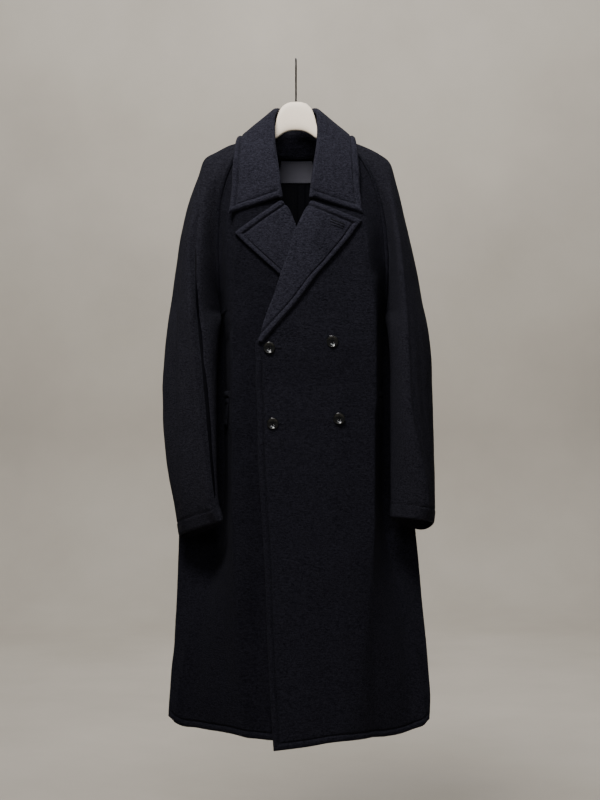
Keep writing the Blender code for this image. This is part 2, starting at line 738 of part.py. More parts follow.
def edge_distances(grid, edges):
    """Distance of each point from the nearest of the named edges, along the grid."""
    across = np.linalg.norm(np.diff(grid, axis=1), axis=-1)
    along = np.linalg.norm(np.diff(grid, axis=0), axis=-1)
    zero_column, zero_row = np.zeros((len(grid), 1)), np.zeros((1, grid.shape[1]))
    from_first = np.concatenate([zero_column, np.cumsum(across, axis=1)], axis=1)
    from_top = np.concatenate([zero_row, np.cumsum(along, axis=0)], axis=0)
    ways = {
        "first": from_first,
        "last": from_first[:, -1:] - from_first,
        "top": from_top,
        "bottom": from_top[-1:] - from_top,
    }
    return np.min([ways[edge] for edge in edges], axis=0)


def build_lapels():
    for side, name in ((LEFT, "left_lapel"), (RIGHT, "right_lapel")):
        along = np.array([0, 0.11, 0.22, 0.33, 0.44, 0.55, 0.66, 0.78, 0.86, 0.925, 0.965, 1.0])
        grid = []
        for row in along:
            ends = lapel_point(side, np.array([0.0, 1.0]), np.full(2, row))
            width = np.linalg.norm(ends[1] - ends[0])
            cord = np.minimum(LAPEL_CORD / width, LAPEL_CORD_MOST)
            across = np.concatenate([np.linspace(0, 1 - cord[0], 5), 1 - cord[1:], [1.0]])
            grid.append(lapel_point(side, across, np.full(len(across), row)))
        grid = np.array(grid)
        normals = facing(grid, (0, -1, 0))
        roll = cord_height(edge_distances(grid, ("last", "bottom")))
        under = grid - normals * LAPEL
        clear = front_face(side, under[..., 0], under[..., 2]) - LAPEL_CLEAR
        under[..., 1] = np.minimum(under[..., 1], clear)
        add_wall(name, grid + normals * roll[..., None], under, WOOL)


def collar_point(across, along):
    """A point of the collar: across is 0 at the neck seam, 1 to 3 over the roll and 4 at its edge.

    along runs from -1 at the left notch, over 0 at the middle of the back, to 1 at the right notch."""
    side = np.where(along < 0, -1.0, 1.0)
    rows = COLLAR_SECTIONS
    count = len(rows["neck"]) - 1
    place = (1.0 - abs(along)) * count
    keys = np.arange(count + 1)
    at = {name: follow(keys, column, place, level_end=name[-1] in "yz") for name, column in rows.items()}
    neck_keys = np.arange(len(NECK["x"]))
    neck = point(*(follow(neck_keys, NECK[axis], at["neck"], level_end=axis in "yz") for axis in "xyz"))
    roll = point(at["roll_x"], at["roll_y"], at["roll_z"])
    edge = point(at["edge_x"], at["edge_y"], at["edge_z"])
    neck = neck + point(*STAND_SET_IN) * (1.0 - ease((place - 3.0) / 1.6))[..., None]
    neck = neck + unit(roll - neck) * STAND_CLEAR
    down_stand, down_fall = unit(neck - roll), unit(edge - roll)
    tip = -unit(down_stand + down_fall)
    wide = unit(down_fall - down_stand)
    height = np.linalg.norm(neck - roll, axis=-1, keepdims=True)
    radius = np.minimum(ROLL_RADIUS, height * 0.45)
    middle = roll - tip * radius
    turn_in, turn_out = middle - wide * radius, middle + wide * radius
    stops = np.stack([neck, turn_in, roll, turn_out, edge])
    bend = radius * QUARTER
    stand_long = np.linalg.norm(turn_in - neck, axis=-1, keepdims=True)
    fall_long = np.linalg.norm(edge - turn_out, axis=-1, keepdims=True)
    lean_out = [(turn_in - neck), tip * bend, wide * bend, unit(edge - turn_out - tip * 12.0) * fall_long]
    lean_in = [tip * stand_long * 0.6, wide * bend, -tip * bend, (edge - turn_out)]
    i = np.clip(np.floor(across).astype(int), 0, 3)
    t = (across - i)[..., None]
    where = np.indices(i.shape)
    a, b = stops[(i, *where)], stops[(i + 1, *where)]
    p, q = np.stack(lean_out)[(i, *where)], np.stack(lean_in)[(i, *where)]
    spot = (2 * t**3 - 3 * t**2 + 1) * a + (t**3 - 2 * t**2 + t) * p
    spot = spot + (3 * t**2 - 2 * t**3) * b + (t**3 - t**2) * q
    return spot * point(side, 1.0, 1.0)


def build_collar():
    place = np.array([9, 8.4, 7.8, 7.2, 6.6, 6, 5.5, 5, 4.4, 3.8, 3, 2.2, 1.5, 0.86, 0.62, 0.3, 0])
    half = 1.0 - place / 9.0
    along = np.concatenate([-half[:0:-1], half])
    across = np.array([0, 0.33, 0.67, 1, 1.5, 2, 2.5, 3, 3.25, 3.5, 3.7, 3.84, 3.89, 3.95, 4])
    alongs, acrosses = np.meshgrid(along, across, indexing="ij")
    grid = collar_point(acrosses, alongs)
    normals = facing(grid, (0, 0, 1))
    roll = cord_height(edge_distances(grid, ("last", "top", "bottom"))) * ease((acrosses - 2.4) / 0.6)
    add_wall("collar", grid + normals * roll[..., None], grid - normals * COLLAR, WOOL)


def patch(grid, rows, columns):
    """Points on a grid's own facets, at rows and columns that may lie between its lines."""
    r = np.clip(np.floor(rows).astype(int), 0, grid.shape[0] - 2)
    c = np.clip(np.floor(columns).astype(int), 0, grid.shape[1] - 2)
    up, along = (rows - r)[..., None], (columns - c)[..., None]
    top = grid[r, c] * (1 - along) + grid[r, c + 1] * along
    low = grid[r + 1, c] * (1 - along) + grid[r + 1, c + 1] * along
    return top * (1 - up) + low * up


def build_pockets(grids, normals):
    """A narrow welt with a flap under it on each front, from where it turns back under the sleeve."""
    for side in ("left", "right"):
        grid, out = grids[side + "_front"], normals[side + "_front"]
        for piece, rows, raised in (("welt", WELT_ROWS, WELT_RAISED), ("flap", FLAP_ROWS, 0.0)):
            rows = np.array(rows)[:, None] + np.zeros(len(POCKET_COLUMNS))
            columns = np.zeros_like(rows) + np.array(POCKET_COLUMNS)
            if piece == "flap":
                slant = FLAP_SLANT * (rows - rows[0, 0]) / (rows[-1, 0] - rows[0, 0])
                columns = columns + slant * np.clip(POCKET_COLUMNS[1] + 0.5 - columns, 0.0, 1.0)
            face, away = patch(grid, rows, columns), patch(out, rows, columns)
            name = f"{side}_pocket_{piece}"
            add_wall(name, face + away * (SNUG + POCKET_THICK + raised), face + away * SNUG, WOOL)


def build_lining(grids, normals):
    """The part of the back's lining that shows in the neck, and the blank band sewn on it."""
    shown = (slice(1, 9), slice(6, -6))
    face, inward = grids["back"][shown], -normals["back"][shown]
    seat = CLOTH + LINING_LOOSE
    add_wall("back_lining", face + inward * seat, face + inward * (seat + LINING), LINING_CLOTH)
    rows, columns = np.meshgrid(LABEL_ROWS, LABEL_COLUMNS, indexing="ij")
    face, inward = patch(face, rows, columns), patch(inward, rows, columns)
    seat += LINING + SNUG
    add_wall("neck_label", face + inward * seat, face + inward * (seat + LABEL), LABEL_CLOTH)


def build_buttons():
    for name, (x, z) in BUTTON_PLACES.items():
        profile = (
            (0.0, 0.0),
            (BUTTON_RADIUS - 2.0, 0.0),
            (BUTTON_RADIUS, 1.2),
            (BUTTON_RADIUS, BUTTON_THICK - 0.8),
            (BUTTON_RADIUS - 0.9, BUTTON_THICK),
            (BUTTON_RADIUS - BUTTON_RIM, BUTTON_THICK - 0.2),
            (BUTTON_RADIUS - BUTTON_RIM - 1.8, BUTTON_THICK - 1.5),
            (0.0, BUTTON_THICK - 1.8),
        )
        build = bmesh.new()
        line = [build.verts.new(Vector((radius, 0, high)) * MM) for radius, high in profile]
        for a, b in zip(line, line[1:]):
            build.edges.new((a, b))
        bmesh.ops.spin(
            build, geom=build.verts[:] + build.edges[:], cent=(0, 0, 0), axis=(0, 0, 1),
            angle=math.tau, steps=BUTTON_STEPS,
        )
        bmesh.ops.remove_doubles(build, verts=build.verts, dist=1e-6)
        bmesh.ops.recalc_face_normals(build, faces=build.faces)
        mesh = bpy.data.meshes.new(name)
        build.to_mesh(mesh)
        build.free()
        button = add_object(name, mesh, HORN)
        button.location = Vector((x, button_seat(x, z), z)) * MM
        button.rotation_euler = (math.pi / 2, 0, 0)
        holes = button_holes(name)
        holes.parent = button
        cut = button.modifiers.new("holes", "BOOLEAN")
        cut.object = holes
        cut.operation = "DIFFERENCE"


def button_seat(x, z):
    """The depth at which a button's flat back just clears the cloth under it."""
    angles = np.linspace(0, math.tau, 16, endpoint=False)
    ring_x = x + BUTTON_RADIUS * np.cos(angles)
    ring_z = z + BUTTON_RADIUS * np.sin(angles)
    return float(min(np.min(front_face(RIGHT, ring_x, ring_z)), front_face(RIGHT, x, z)) - BUTTON_CLEAR)


def button_holes(name):
    """Four round cutters for a button's sewing holes."""
    build = bmesh.new()
    for turn in range(4):
        angle = math.pi / 4 + turn * math.pi / 2
        radius = BUTTON_HOLE * MM
        made = bmesh.ops.create_cone(
            build, cap_ends=True, segments=6, radius1=radius, radius2=radius, depth=12 * MM
        )
        place = Vector((math.cos(angle), math.sin(angle), 0)) * BUTTON_HOLE_OFFSET * MM
        bmesh.ops.translate(build, verts=made["verts"], vec=place)
    mesh = bpy.data.meshes.new(name + "_holes")
    build.to_mesh(mesh)
    build.free()
    cutter = bpy.data.objects.new(name + "_holes", mesh)
    cutter.hide_render = True
    cutter.display_type = "WIRE"
    bpy.context.scene.collection.objects.link(cutter)
    return cutter


def build_hanger():
    """The hanger's body: rounded sections along X, from one end to the other over the domed head."""
    reach = HANGER["x"]
    xs = np.concatenate([-reach[:0:-1], reach])
    angles = np.linspace(0, math.tau, 12, endpoint=False)
    sections = []
    for x in xs:
        low, half, top = (follow(reach, HANGER[name], abs(x)) for name in ("low", "half_depth", "top"))
        forward = ARMS_FORWARD * ease(abs(x) / ARMS_FROM)
        middle, tall = (low + top) / 2, (top - low) / 2
        across, up = np.cos(angles), np.sin(angles)
        boxy = HEAD_BOXY + (1.0 - HEAD_BOXY) * ease((abs(x) - 40.0) / 60.0)
        sections.append(
            point(
                x,
                forward + half * np.sign(across) * abs(across) ** boxy,
                middle + tall * np.sign(up) * abs(up) ** boxy,
            )
        )
    points = np.array(sections)
    rows, around = points.shape[:2]
    number = np.arange(rows * around).reshape(rows, around)
    faces = [
        (number[r, c], number[r, (c + 1) % around], number[r + 1, (c + 1) % around], number[r + 1, c])
        for r in range(rows - 1)
        for c in range(around)
    ]
    faces += [tuple(number[0]), tuple(number[-1])]
    add_solid("hanger_body", points.reshape(-1, 3), faces, CREAM)


def build_hook():
    """A bent wire: up from the head, forward round the rail's front, over its top and down behind."""
    centre = Vector((0, 0, -HOOK_RADIUS + WIRE))
    arc = [
        centre + Vector((0, -math.cos(angle), math.sin(angle))) * HOOK_RADIUS
        for angle in np.linspace(math.radians(-38), math.radians(205), 18)
    ]
    joint = arc[0]
    rise = [
        Vector((0, joint.y * float(ease(t)), STEM_TOP + (joint.z - STEM_TOP) * t))
        for t in (0.0, 0.2, 0.4, 0.6, 0.8)
    ]
    route = [Vector((0, 0, STEM_FOOT + STEM_CLEAR))] + rise + arc
    curve = bpy.data.curves.new("hanger_hook", "CURVE")
    curve.dimensions = "3D"
    curve.bevel_depth = WIRE * MM
    curve.bevel_resolution = 2
    curve.use_fill_caps = True
    spline = curve.splines.new("POLY")
    spline.points.add(len(route) - 1)
    for spot, place in zip(spline.points, route):
        spot.co = (*(place * MM), 1.0)
    curve.materials.append(material(*BLACK_WIRE))
    hook = bpy.data.objects.new("hanger_hook", curve)
    bpy.context.scene.collection.objects.link(hook)


def main():
    for old in list(bpy.data.objects):
        bpy.data.objects.remove(old)
    grids, normals = build_cloth()
    build_lapels()
    build_collar()
    build_pockets(grids, normals)
    build_lining(grids, normals)
    build_buttons()
    build_hanger()
    build_hook()


main()
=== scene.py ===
"""The looks of a long double-breasted raglan coat in heavy felted wool, hanging buttoned on a hanger.

Each piece of cloth is a fine closed wall, from the same tables and surfaces as the part's solids. All
tables are in millimetres in the part's frame: +X to the viewer's right, -Y to the viewer and +Z up.
"""

import math

import bmesh
import bpy
import numpy as np
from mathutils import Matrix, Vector


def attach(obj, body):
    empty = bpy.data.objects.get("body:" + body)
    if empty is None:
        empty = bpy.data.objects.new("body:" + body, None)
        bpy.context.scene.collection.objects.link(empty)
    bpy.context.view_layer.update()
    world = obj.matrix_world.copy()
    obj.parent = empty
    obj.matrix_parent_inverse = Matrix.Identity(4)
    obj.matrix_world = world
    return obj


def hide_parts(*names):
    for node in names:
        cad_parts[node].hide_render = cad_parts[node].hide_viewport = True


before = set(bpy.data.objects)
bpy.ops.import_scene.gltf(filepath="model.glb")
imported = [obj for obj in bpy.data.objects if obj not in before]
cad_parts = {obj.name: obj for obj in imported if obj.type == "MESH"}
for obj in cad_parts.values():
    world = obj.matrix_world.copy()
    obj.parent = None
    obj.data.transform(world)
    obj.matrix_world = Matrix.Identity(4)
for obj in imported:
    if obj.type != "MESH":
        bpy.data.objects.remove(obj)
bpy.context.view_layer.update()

MM = 0.001

CLOTH = 3.0
LAPEL = 4.5
COLLAR = 4.2
LINING = 0.8
LABEL = 0.8
LINING_LOOSE = 1.4
SEAM = 0.25
SNUG = 0.35
LAPEL_CLEAR = 1.15

ARMPIT = 9
HEM_LEVEL = -1330.0
HEM_EASE_FROM = -950.0
LEFT, RIGHT = -1, 1

BUTTON_RADIUS = 11.4
BUTTON_THICK = 3.6
BUTTON_HOLE = 1.1
BUTTON_CLEAR = 0.05
BUTTON_HOLE_OFFSET = 2.5
BUTTON_PLACES = {
    "button_upper_left": (-51.0, -579.0),
    "button_upper_right": (70.5, -567.0),
    "button_lower_left": (-44.5, -725.0),
    "button_lower_right": (83.5, -715.5),
}

WIRE = 1.75
HOOK_RADIUS = 19.0
STEM_FOOT, STEM_TOP = -84.0, -58.0
STEM_CLEAR, FOOT_ROUND = 0.35, 1.1
HOOK_FROM, HOOK_TO = -38, 205


def table(names, rows):
    """A table's columns by name."""
    return dict(zip(names.split(), np.array(rows, float).T))


# The torso's front, a row for each level. seam is where the panel ends: the raglan seam down to the
# armpit, then the side seam. turn and foot are where the panel starts and stops turning back behind
# the sleeve, and crown is the depth of its middle.
TORSO = table("z crown seam_l seam_r seam_y turn_l turn_r foot_l foot_r foot_y", (
    (-178, -50, 96, 106, -38, 56, 60, 96, 106, -38),
    (-193, -57, 117, 124, -41, 68, 72, 117, 124, -41),
    (-219, -65, 133, 142, -44, 84, 90, 133, 142, -44),
    (-246, -71, 144, 155, -44, 98, 106, 144, 155, -44),
    (-286, -78, 154, 168, -41, 106, 118, 154, 168, -41),
    (-329, -83, 158, 177, -36, 112, 130, 158, 177, -36),
    (-374, -86, 160, 182, -30, 114, 138, 160, 182, -30),
    (-420, -88, 159, 184, -22, 116, 142, 159, 184, -22),
    (-463, -90, 157, 184, -3, 118, 146, 157, 184, -3),
    (-503, -91, 153, 182, 20, 120, 150, 153, 182, 20),
    (-545, -92, 170, 200, 42, 121, 152, 146, 176, 36),
    (-600, -92, 195, 214, 50, 122, 152, 147, 177, 40),
    (-660, -92, 210, 222, 54, 122, 152, 147, 177, 42),
    (-720, -93, 220, 228, 56, 122, 152, 147, 177, 43),
    (-780, -93, 228, 234, 58, 122, 152, 147, 177, 44),
    (-840, -94, 234, 238, 58, 122, 152, 147, 177, 44),
    (-900, -94, 237, 241, 58, 122, 151, 148, 178, 43),
    (-950, -95, 239, 244, 55, 121, 150, 152, 182, 37),
    (-1000, -96, 240, 249, 49, 119, 146, 165, 195, 26),
    (-1060, -97, 241, 253, 39, 116, 140, 185, 212, 12),
    (-1120, -98, 243, 258, 29, 110, 132, 205, 226, 4),
    (-1180, -100, 246, 263, 20, 104, 124, 220, 240, 0),
    (-1240, -102, 251, 267, 13, 98, 116, 232, 250, -3),
    (-1290, -103, 254, 270, 8, 92, 110, 240, 256, -5),
    (HEM_LEVEL, -104, 256, 268, 6, 88, 104, 244, 258, -6),
))

# How far the fronts fall back from their middle to the turn, and how much of the folds is left past it.
CROWN_DROP = 7.0
SIDE_FOLDS, SIDE_FOLDS_FROM, SIDE_FOLDS_FADE = 0.55, -900.0, 120.0

# The back's raglan edge down to the armpit, and the depth of its middle from there to the hem.
BACK_EDGE = table("z left right y", (
    (-168, 76, 78, 34), (-186, 102, 104, 40), (-212, 119, 123, 46), (-240, 132, 139, 52),
    (-282, 145, 154, 57), (-326, 151, 164, 59), (-372, 154, 172, 58), (-418, 156, 178, 53),
    (-462, 156, 181, 42), (-503, 153, 182, 20),
))
BACK_DEPTH = table("row depth", (
    (0, 52), (1, 60), (2, 68), (3, 74), (5, 83), (9, 89), (12, 91), (16, 93), (20, 98), (24, 104),
))

# Soft folds that hang in the fronts and the back: where each starts and ends, how wide and how high.
# Those that end below TO_THE_HEM don't fade out, and a fade takes one part in FOLD_FADE of a fold.
TO_THE_HEM, FOLD_FADE = -1340.0, 4.0
FOLDS = table("x_top z_top x_low z_low width height", (
    (-138, -330, -132, -560, 15, 5.0),
    (-116, -400, -112, -640, 12, -6.0),
    (-96, -700, -104, -1150, 20, 5.0),
    (-142, -860, -138, -1290, 14, -8.0),
    (-176, -1010, -180, -1345, 20, 8.0),
    (-70, -980, -76, -1345, 16, -4.0),
    (128, -300, 136, -700, 17, 5.0),
    (104, -640, 100, -1000, 22, -4.0),
    (150, -930, 158, -1345, 17, -7.0),
    (196, -1010, 204, -1345, 20, 7.0),
    (60, -1000, 66, -1345, 26, -4.0),
))
BACK_FOLDS = table("x_top z_top x_low z_low width height", (
    (-96, -300, -108, -1345, 22, 7.0),
    (-58, -420, -66, -1345, 18, -7.0),
    (0, -520, 4, -1345, 26, 6.0),
    (64, -400, 70, -1345, 18, -7.0),
    (104, -300, 118, -1345, 22, 7.0),
    (-170, -700, -182, -1345, 18, -7.0),
    (176, -700, 190, -1345, 18, -7.0),
))

# The neck seam from the notch to the middle of the back, the same on both sides.
NECK = table("x y z", (
    (28, -76, -290), (56, -69, -246), (76, -62, -214), (89, -51, -192), (93, -38, -177),
    (92, -22, -168.5), (87, -4, -163), (82, 16, -164.5), (77, 34, -168), (42, 48, -182), (0, 52, -186),
))
NECK_FRONT_ROWS = 5

# Where each front is turned out: the roll line and the lapel's edge, from the top button to the notch.
OVERLAP_LAPEL = table("roll_x roll_z edge_x edge_z", (
    (-69.5, -566, -64, -569), (-63, -540, -46, -547), (-54, -512, -22, -519), (-42, -482, 5, -488),
    (-28, -437, 42, -438), (-14, -397, 76, -399), (-2, -358, 104, -366), (9, -331, 117.5, -347),
    (20, -309, 125, -338), (33, -293, 128.5, -331),
))
UNDERLAP_LAPEL = table("roll_x roll_z edge_x edge_z", (
    (88, -564, 83, -567), (79, -540, 63, -544), (66, -508, 38, -513), (50, -470, 4, -473),
    (35, -432, -36, -434), (20, -394, -76, -398), (5, -358, -104, -372), (-6, -330, -113, -363),
    (-16, -308, -118, -358), (-31.5, -293, -120, -355),
))
OVERLAP_EDGE = table("z x", (
    (-566, -77), (-640, -77.5), (-700, -74.5), (-800, -72.5), (-912, -65.5), (-1018, -59.5),
    (-1110, -56.5), (-1240, -49), (-1352, -41),
))
UNDERLAP_EDGE = table("z x", ((-564, 94), (-800, 92), (-1018, 84), (-1352, 72)))
HEM = {
    LEFT: table("x z", (
        (-256, -1312), (-246, -1321), (-215, -1333), (-170, -1333), (-125, -1331), (-88, -1334),
        (-44, -1336), (80, -1340),
    )),
    RIGHT: table("x z", (
        (-42, -1355), (8, -1349), (100, -1338), (147, -1340), (176, -1344), (208, -1343), (240, -1335),
        (256, -1329), (268, -1318),
    )),
}
BACK_HEM = table("x z", ((-256, -1312), (-200, -1318), (0, -1320), (200, -1322), (268, -1318)))

# How far the overlap stands off the underlap: over the turned-out lapel, then over one panel.
LAP = table("z offset", ((-220, 0), (-290, 3), (-350, 12.5), (-575, 12.5), (-655, 6.5), (-1360, 6.5)))
LAP_FADE = 48.0
LEAST_LAP, LAP_PAST = 20.0, 4.0
TURN_SHARE, FOOT_SHARE = 0.4, 0.6
LEAST_TURN, LEAST_FOOT = 8.0, 2.0
# Where a front's edge passes from the roll line to the straight edge, measured at the lapel's foot.
ROLL_ENDS_ABOVE, ROLL_ENDS_OVER = 14.0, 22.0

# Sleeves, a row for each level: front crest c, outer edge t (the shoulder's ridge at the top) and
# back crest d. Rows 0 to 8 lie between the raglan seams, and from row 9 the sleeve is a tube.
SLEEVES = {
    LEFT: table("cx cy cz tx ty tz dx dy dz", (
        (-94, -22, -168, -87, -4, -163, -82, 16, -164),
        (-112, -26, -178, -108, -5, -166, -102, 17, -170),
        (-133, -32, -195, -132, -7, -172, -126, 18, -182),
        (-152, -38, -214, -157, -9, -185, -149, 20, -198),
        (-169, -46, -242, -183, -12, -202, -172, 24, -222),
        (-180, -54, -280, -195, -14, -239, -188, 28, -256),
        (-187, -62, -330, -213, -15, -290, -203, 30, -302),
        (-192, -70, -384, -227, -15, -348, -214, 30, -354),
        (-194, -76, -442, -236.5, -15, -414, -222, 28, -418),
        (-193, -81, -500, -246, -15, -482, -227, 25, -484),
        (-189, -84, -545, -255.5, -18, -545, -228, 25, -545),
        (-183, -86, -600, -260, -20, -600, -229, 26, -600),
        (-177, -87, -660, -263, -20, -660, -230, 27, -660),
        (-172, -87, -720, -262, -19, -720, -230, 28, -720),
        (-169, -86, -780, -257.5, -18, -780, -228, 28, -780),
        (-165, -85, -835, -249.5, -16, -837, -223, 28, -839),
        (-160, -84, -876, -240.5, -13, -882, -218, 29, -886),
        (-155, -82, -898, -235.5, -9, -912, -215, 30, -918),
        (-151, -80, -917, -229, -3, -948, -212, 30, -955),
    )),
    RIGHT: table("cx cy cz tx ty tz dx dy dz", (
        (100, -22, -168, 88, -4, -163, 84, 16, -164),
        (117, -26, -178, 112, -5, -166, 106, 17, -171),
        (141, -32, -197, 139, -8, -176, 132, 18, -185),
        (160, -38, -215, 164, -10, -189, 155, 20, -200),
        (176, -46, -244, 186, -12, -207, 176, 24, -225),
        (188, -54, -282, 197, -14, -241, 190, 28, -257),
        (196, -62, -332, 210, -15, -291, 201, 30, -303),
        (203, -70, -386, 223.5, -15, -348, 212, 30, -354),
        (208, -76, -444, 238, -15, -414, 222, 28, -418),
        (212, -81, -502, 251, -15, -484, 231, 25, -486),
        (214, -85, -545, 263.5, -18, -545, 237, 25, -545),
        (217, -87, -600, 269, -18, -600, 241, 26, -600),
        (220, -88, -660, 271, -18, -660, 241, 27, -660),
        (224, -88, -720, 273, -16, -720, 240, 28, -720),
        (233, -86, -780, 274.5, -14, -780, 238, 29, -780),
        (243, -83, -835, 276, -10, -836, 236, 30, -838),
        (248, -79, -876, 276, -7, -880, 238, 32, -884),
        (250, -75, -894, 276, -4, -904, 242, 34, -914),
        (247, -72, -914, 275, 0, -928, 246, 36, -941),
    )),
}
INNER = {
    LEFT: table("row x y z", (
        (9, -153.4, 20, -503), (9.35, -150.5, 8, -516), (10, -152.5, -12, -545), (12, -157.5, -22, -660),
        (14, -158, -24, -780), (16, -156, -26, -876), (17, -152, -28, -900), (18, -147, -30, -921),
    )),
    RIGHT: table("row x y z", (
        (9, 182.4, 20, -503), (9.35, 179.5, 8, -516), (10, 182.5, -12, -545), (12, 187, -22, -660),
        (14, 187, -24, -780), (16, 187.5, -24, -876), (17, 187.5, -24, -896), (18, 187, -24, -914),
    )),
}
SLEEVE_ROUND = 1.3
# The rows over which a sleeve closes into a tube, and how it leans there and at its raglan seams.
CLOSING_FROM, CLOSING_ROWS = 7.0, 3.0
INSIDE_ROUND = (0.2, 1.0, 1.0)
SEAM_LEAN = 0.9

# The collar from the notch round to the middle of the back: where it rolls over, and its outer edge.
COLLAR_SECTIONS = table("neck roll_x roll_y roll_z edge_x edge_y edge_z", (
    (0.0, 27.5, -90, -285, 131, -79, -316),
    (0.35, 28.5, -88, -270, 128.5, -76, -296),
    (1.0, 30, -84, -247, 125.5, -72, -268),
    (2.0, 35, -71, -211, 124, -66, -227),
    (3.0, 40.5, -51, -167, 122, -50, -192),
    (4.6, 43, -20, -117, 120, -28, -169),
    (6.0, 37, 14, -95, 116, 2, -158.5),
    (8.0, 27, 38, -91, 104, 44, -171),
    (9.0, 14, 50, -90, 62, 70, -194),
    (10.0, 0, 54, -90, 0, 77, -201),
))
ROLL_RADIUS = 6.5
QUARTER = math.pi / 2
STAND_SET_IN = (-0.4, 4.4, 0.0)
SET_IN_UNTIL, SET_IN_FADE = 3.0, 1.6
# The most of the stand's height that the roll takes, and how the fall and the stand leave it.
ROLL_SHARE = 0.45
FALL_LEAN, STAND_LEAN = 12.0, 0.6
STAND_CLEAR = 2.2

# A corded edge: height by distance from the edge, and the levels between which it sets in on a front.
CORD = table("distance height", (
    (0, -1.6), (1.6, 0.6), (4.5, 2.2), (7.5, 2.2), (10.2, 0.8), (12.0, -1.5), (13.0, -2.1), (14.0, -1.5),
    (16.0, -0.2), (18, 0.0),
))
CORD_STARTS, CORD_FULL = -590.0, -610.0
LAPEL_LIFT, LAPEL_BELLY = 0.6, 5.5
# The underlap's lapel bellies only left of the overlap's edge.
UNDER_SHOWS, UNDER_SHOWS_OVER = 4.0, 40.0

# Pocket and neck label places, counted along the rows and columns of the piece they are sewn to.
WELT_ROWS = (12.06, 12.24)
FLAP_ROWS = (12.27, 13.2)
WELT_RAISED = 0.8
POCKET_COLUMNS = (9.0, 11.2)
TURN_COLUMN, TURN_COLUMNS = 8.0, 4.0
FLAP_SLANT, SLANT_UNTIL = 0.9, 10.0
POCKET_THICK = 2.6
POCKET_PIECES = (("welt", WELT_ROWS, 9, WELT_RAISED), ("flap", FLAP_ROWS, 34, 0.0))
LABEL_ROWS = (1.45, 2.85)
LABEL_COLUMNS = (7.75, 12.2)
LABEL_STITCH_AT = 1.6

# The hanger along X: depth and height of its section.
HANGER = table("x low half_depth top", (
    (0, -141, 6.5, -84), (14, -142.5, 6.5, -85.5), (25, -147, 6.5, -91.5), (33, -152.5, 6.5, -102),
    (38, -156.5, 6.5, -116), (42, -158, 7.0, -134), (50, -166, 8.0, -147), (62, -174, 8.5, -154.5),
    (77, -181, 9.0, -162.5), (90, -186, 9.0, -168.4), (120, -193, 9.0, -174.5), (150, -203, 9.5, -186.0),
    (170, -212, 10.0, -199.0), (176, -215, 8.0, -205.0),
))
ARMS_FORWARD, ARMS_FROM = -8.0, 120.0
HEAD_BOXY, BOXY_FROM, BOXY_FADE = 0.6, 40.0, 60.0
ARM_END, END_ROUND_FROM, END_ROUND = 176, 172.0, 16.5
# No rounded end gets thinner than this share, squared.
LEAST_END = 0.02


def ease(t):
    t = np.clip(t, 0.0, 1.0)
    return t * t * (3.0 - 2.0 * t)


def hermite(t, start, end, lean_start, lean_end):
    """A cubic from start to end that leaves along lean_start and arrives along lean_end."""
    spot = (2 * t**3 - 3 * t**2 + 1) * start + (t**3 - 2 * t**2 + t) * lean_start
    return spot + (3 * t**2 - 2 * t**3) * end + (t**3 - t**2) * lean_end


def follow(keys, values, at, level_end=False):
    """A smooth curve through a table's values, without overshoot. level_end makes it arrive level."""
    keys = np.asarray(keys, float)
    values = np.asarray(values, float)
    if keys[0] > keys[-1]:
        keys, values = keys[::-1], values[::-1]
    at = np.clip(np.asarray(at, float), keys[0], keys[-1])
    gaps = np.diff(keys)
    slopes = np.diff(values) / gaps
    tangents = np.empty(len(keys))
    tangents[0], tangents[-1] = slopes[0], (0.0 if level_end else slopes[-1])
    before, after = slopes[:-1], slopes[1:]
    mean = (before * gaps[1:] + after * gaps[:-1]) / (gaps[1:] + gaps[:-1])
    most = 3.0 * np.minimum(abs(before), abs(after))
    tangents[1:-1] = np.where(before * after > 0, np.sign(mean) * np.minimum(abs(mean), most), 0.0)
    i = np.clip(np.searchsorted(keys, at, side="right") - 1, 0, len(gaps) - 1)
    t = (at - keys[i]) / gaps[i]
    return hermite(t, values[i], values[i + 1], gaps[i] * tangents[i], gaps[i] * tangents[i + 1])


def between_stops(stops, lean_out, lean_in, at):
    """A smooth line through the stops, at 0 on the first of them, 1 on the second and so on."""
    i = np.clip(np.floor(at).astype(int), 0, len(stops) - 2)
    where = np.indices(i.shape)
    start, end = stops[(i, *where)], stops[(i + 1, *where)]
    return hermite((at - i)[..., None], start, end, lean_out[(i, *where)], lean_in[(i, *where)])


def unit(vectors):
    return vectors / np.maximum(np.linalg.norm(vectors, axis=-1, keepdims=True), 1e-9)


def point(x, y, z):
    return np.stack(np.broadcast_arrays(np.asarray(x, float), y, z), axis=-1)


def folds_at(folds, x, z):
    """How far the folds stand out at a place, fading in at each end."""
    total = np.zeros(np.broadcast(x, z).shape)
    for x_top, z_top, x_low, z_low, width, height in zip(*folds.values()):
        along = (z_top - z) / (z_top - z_low)
        middle = x_top + (x_low - x_top) * np.clip(along, 0.0, 1.0)
        fade_out = 1.0 if z_low < TO_THE_HEM else ease((1.0 - along) * FOLD_FADE)
        total = total + height * np.exp(-(((x - middle) / width) ** 2)) * ease(along * FOLD_FADE) * fade_out
    return total


def torso(name, z):
    return follow(TORSO["z"], TORSO[name], z)


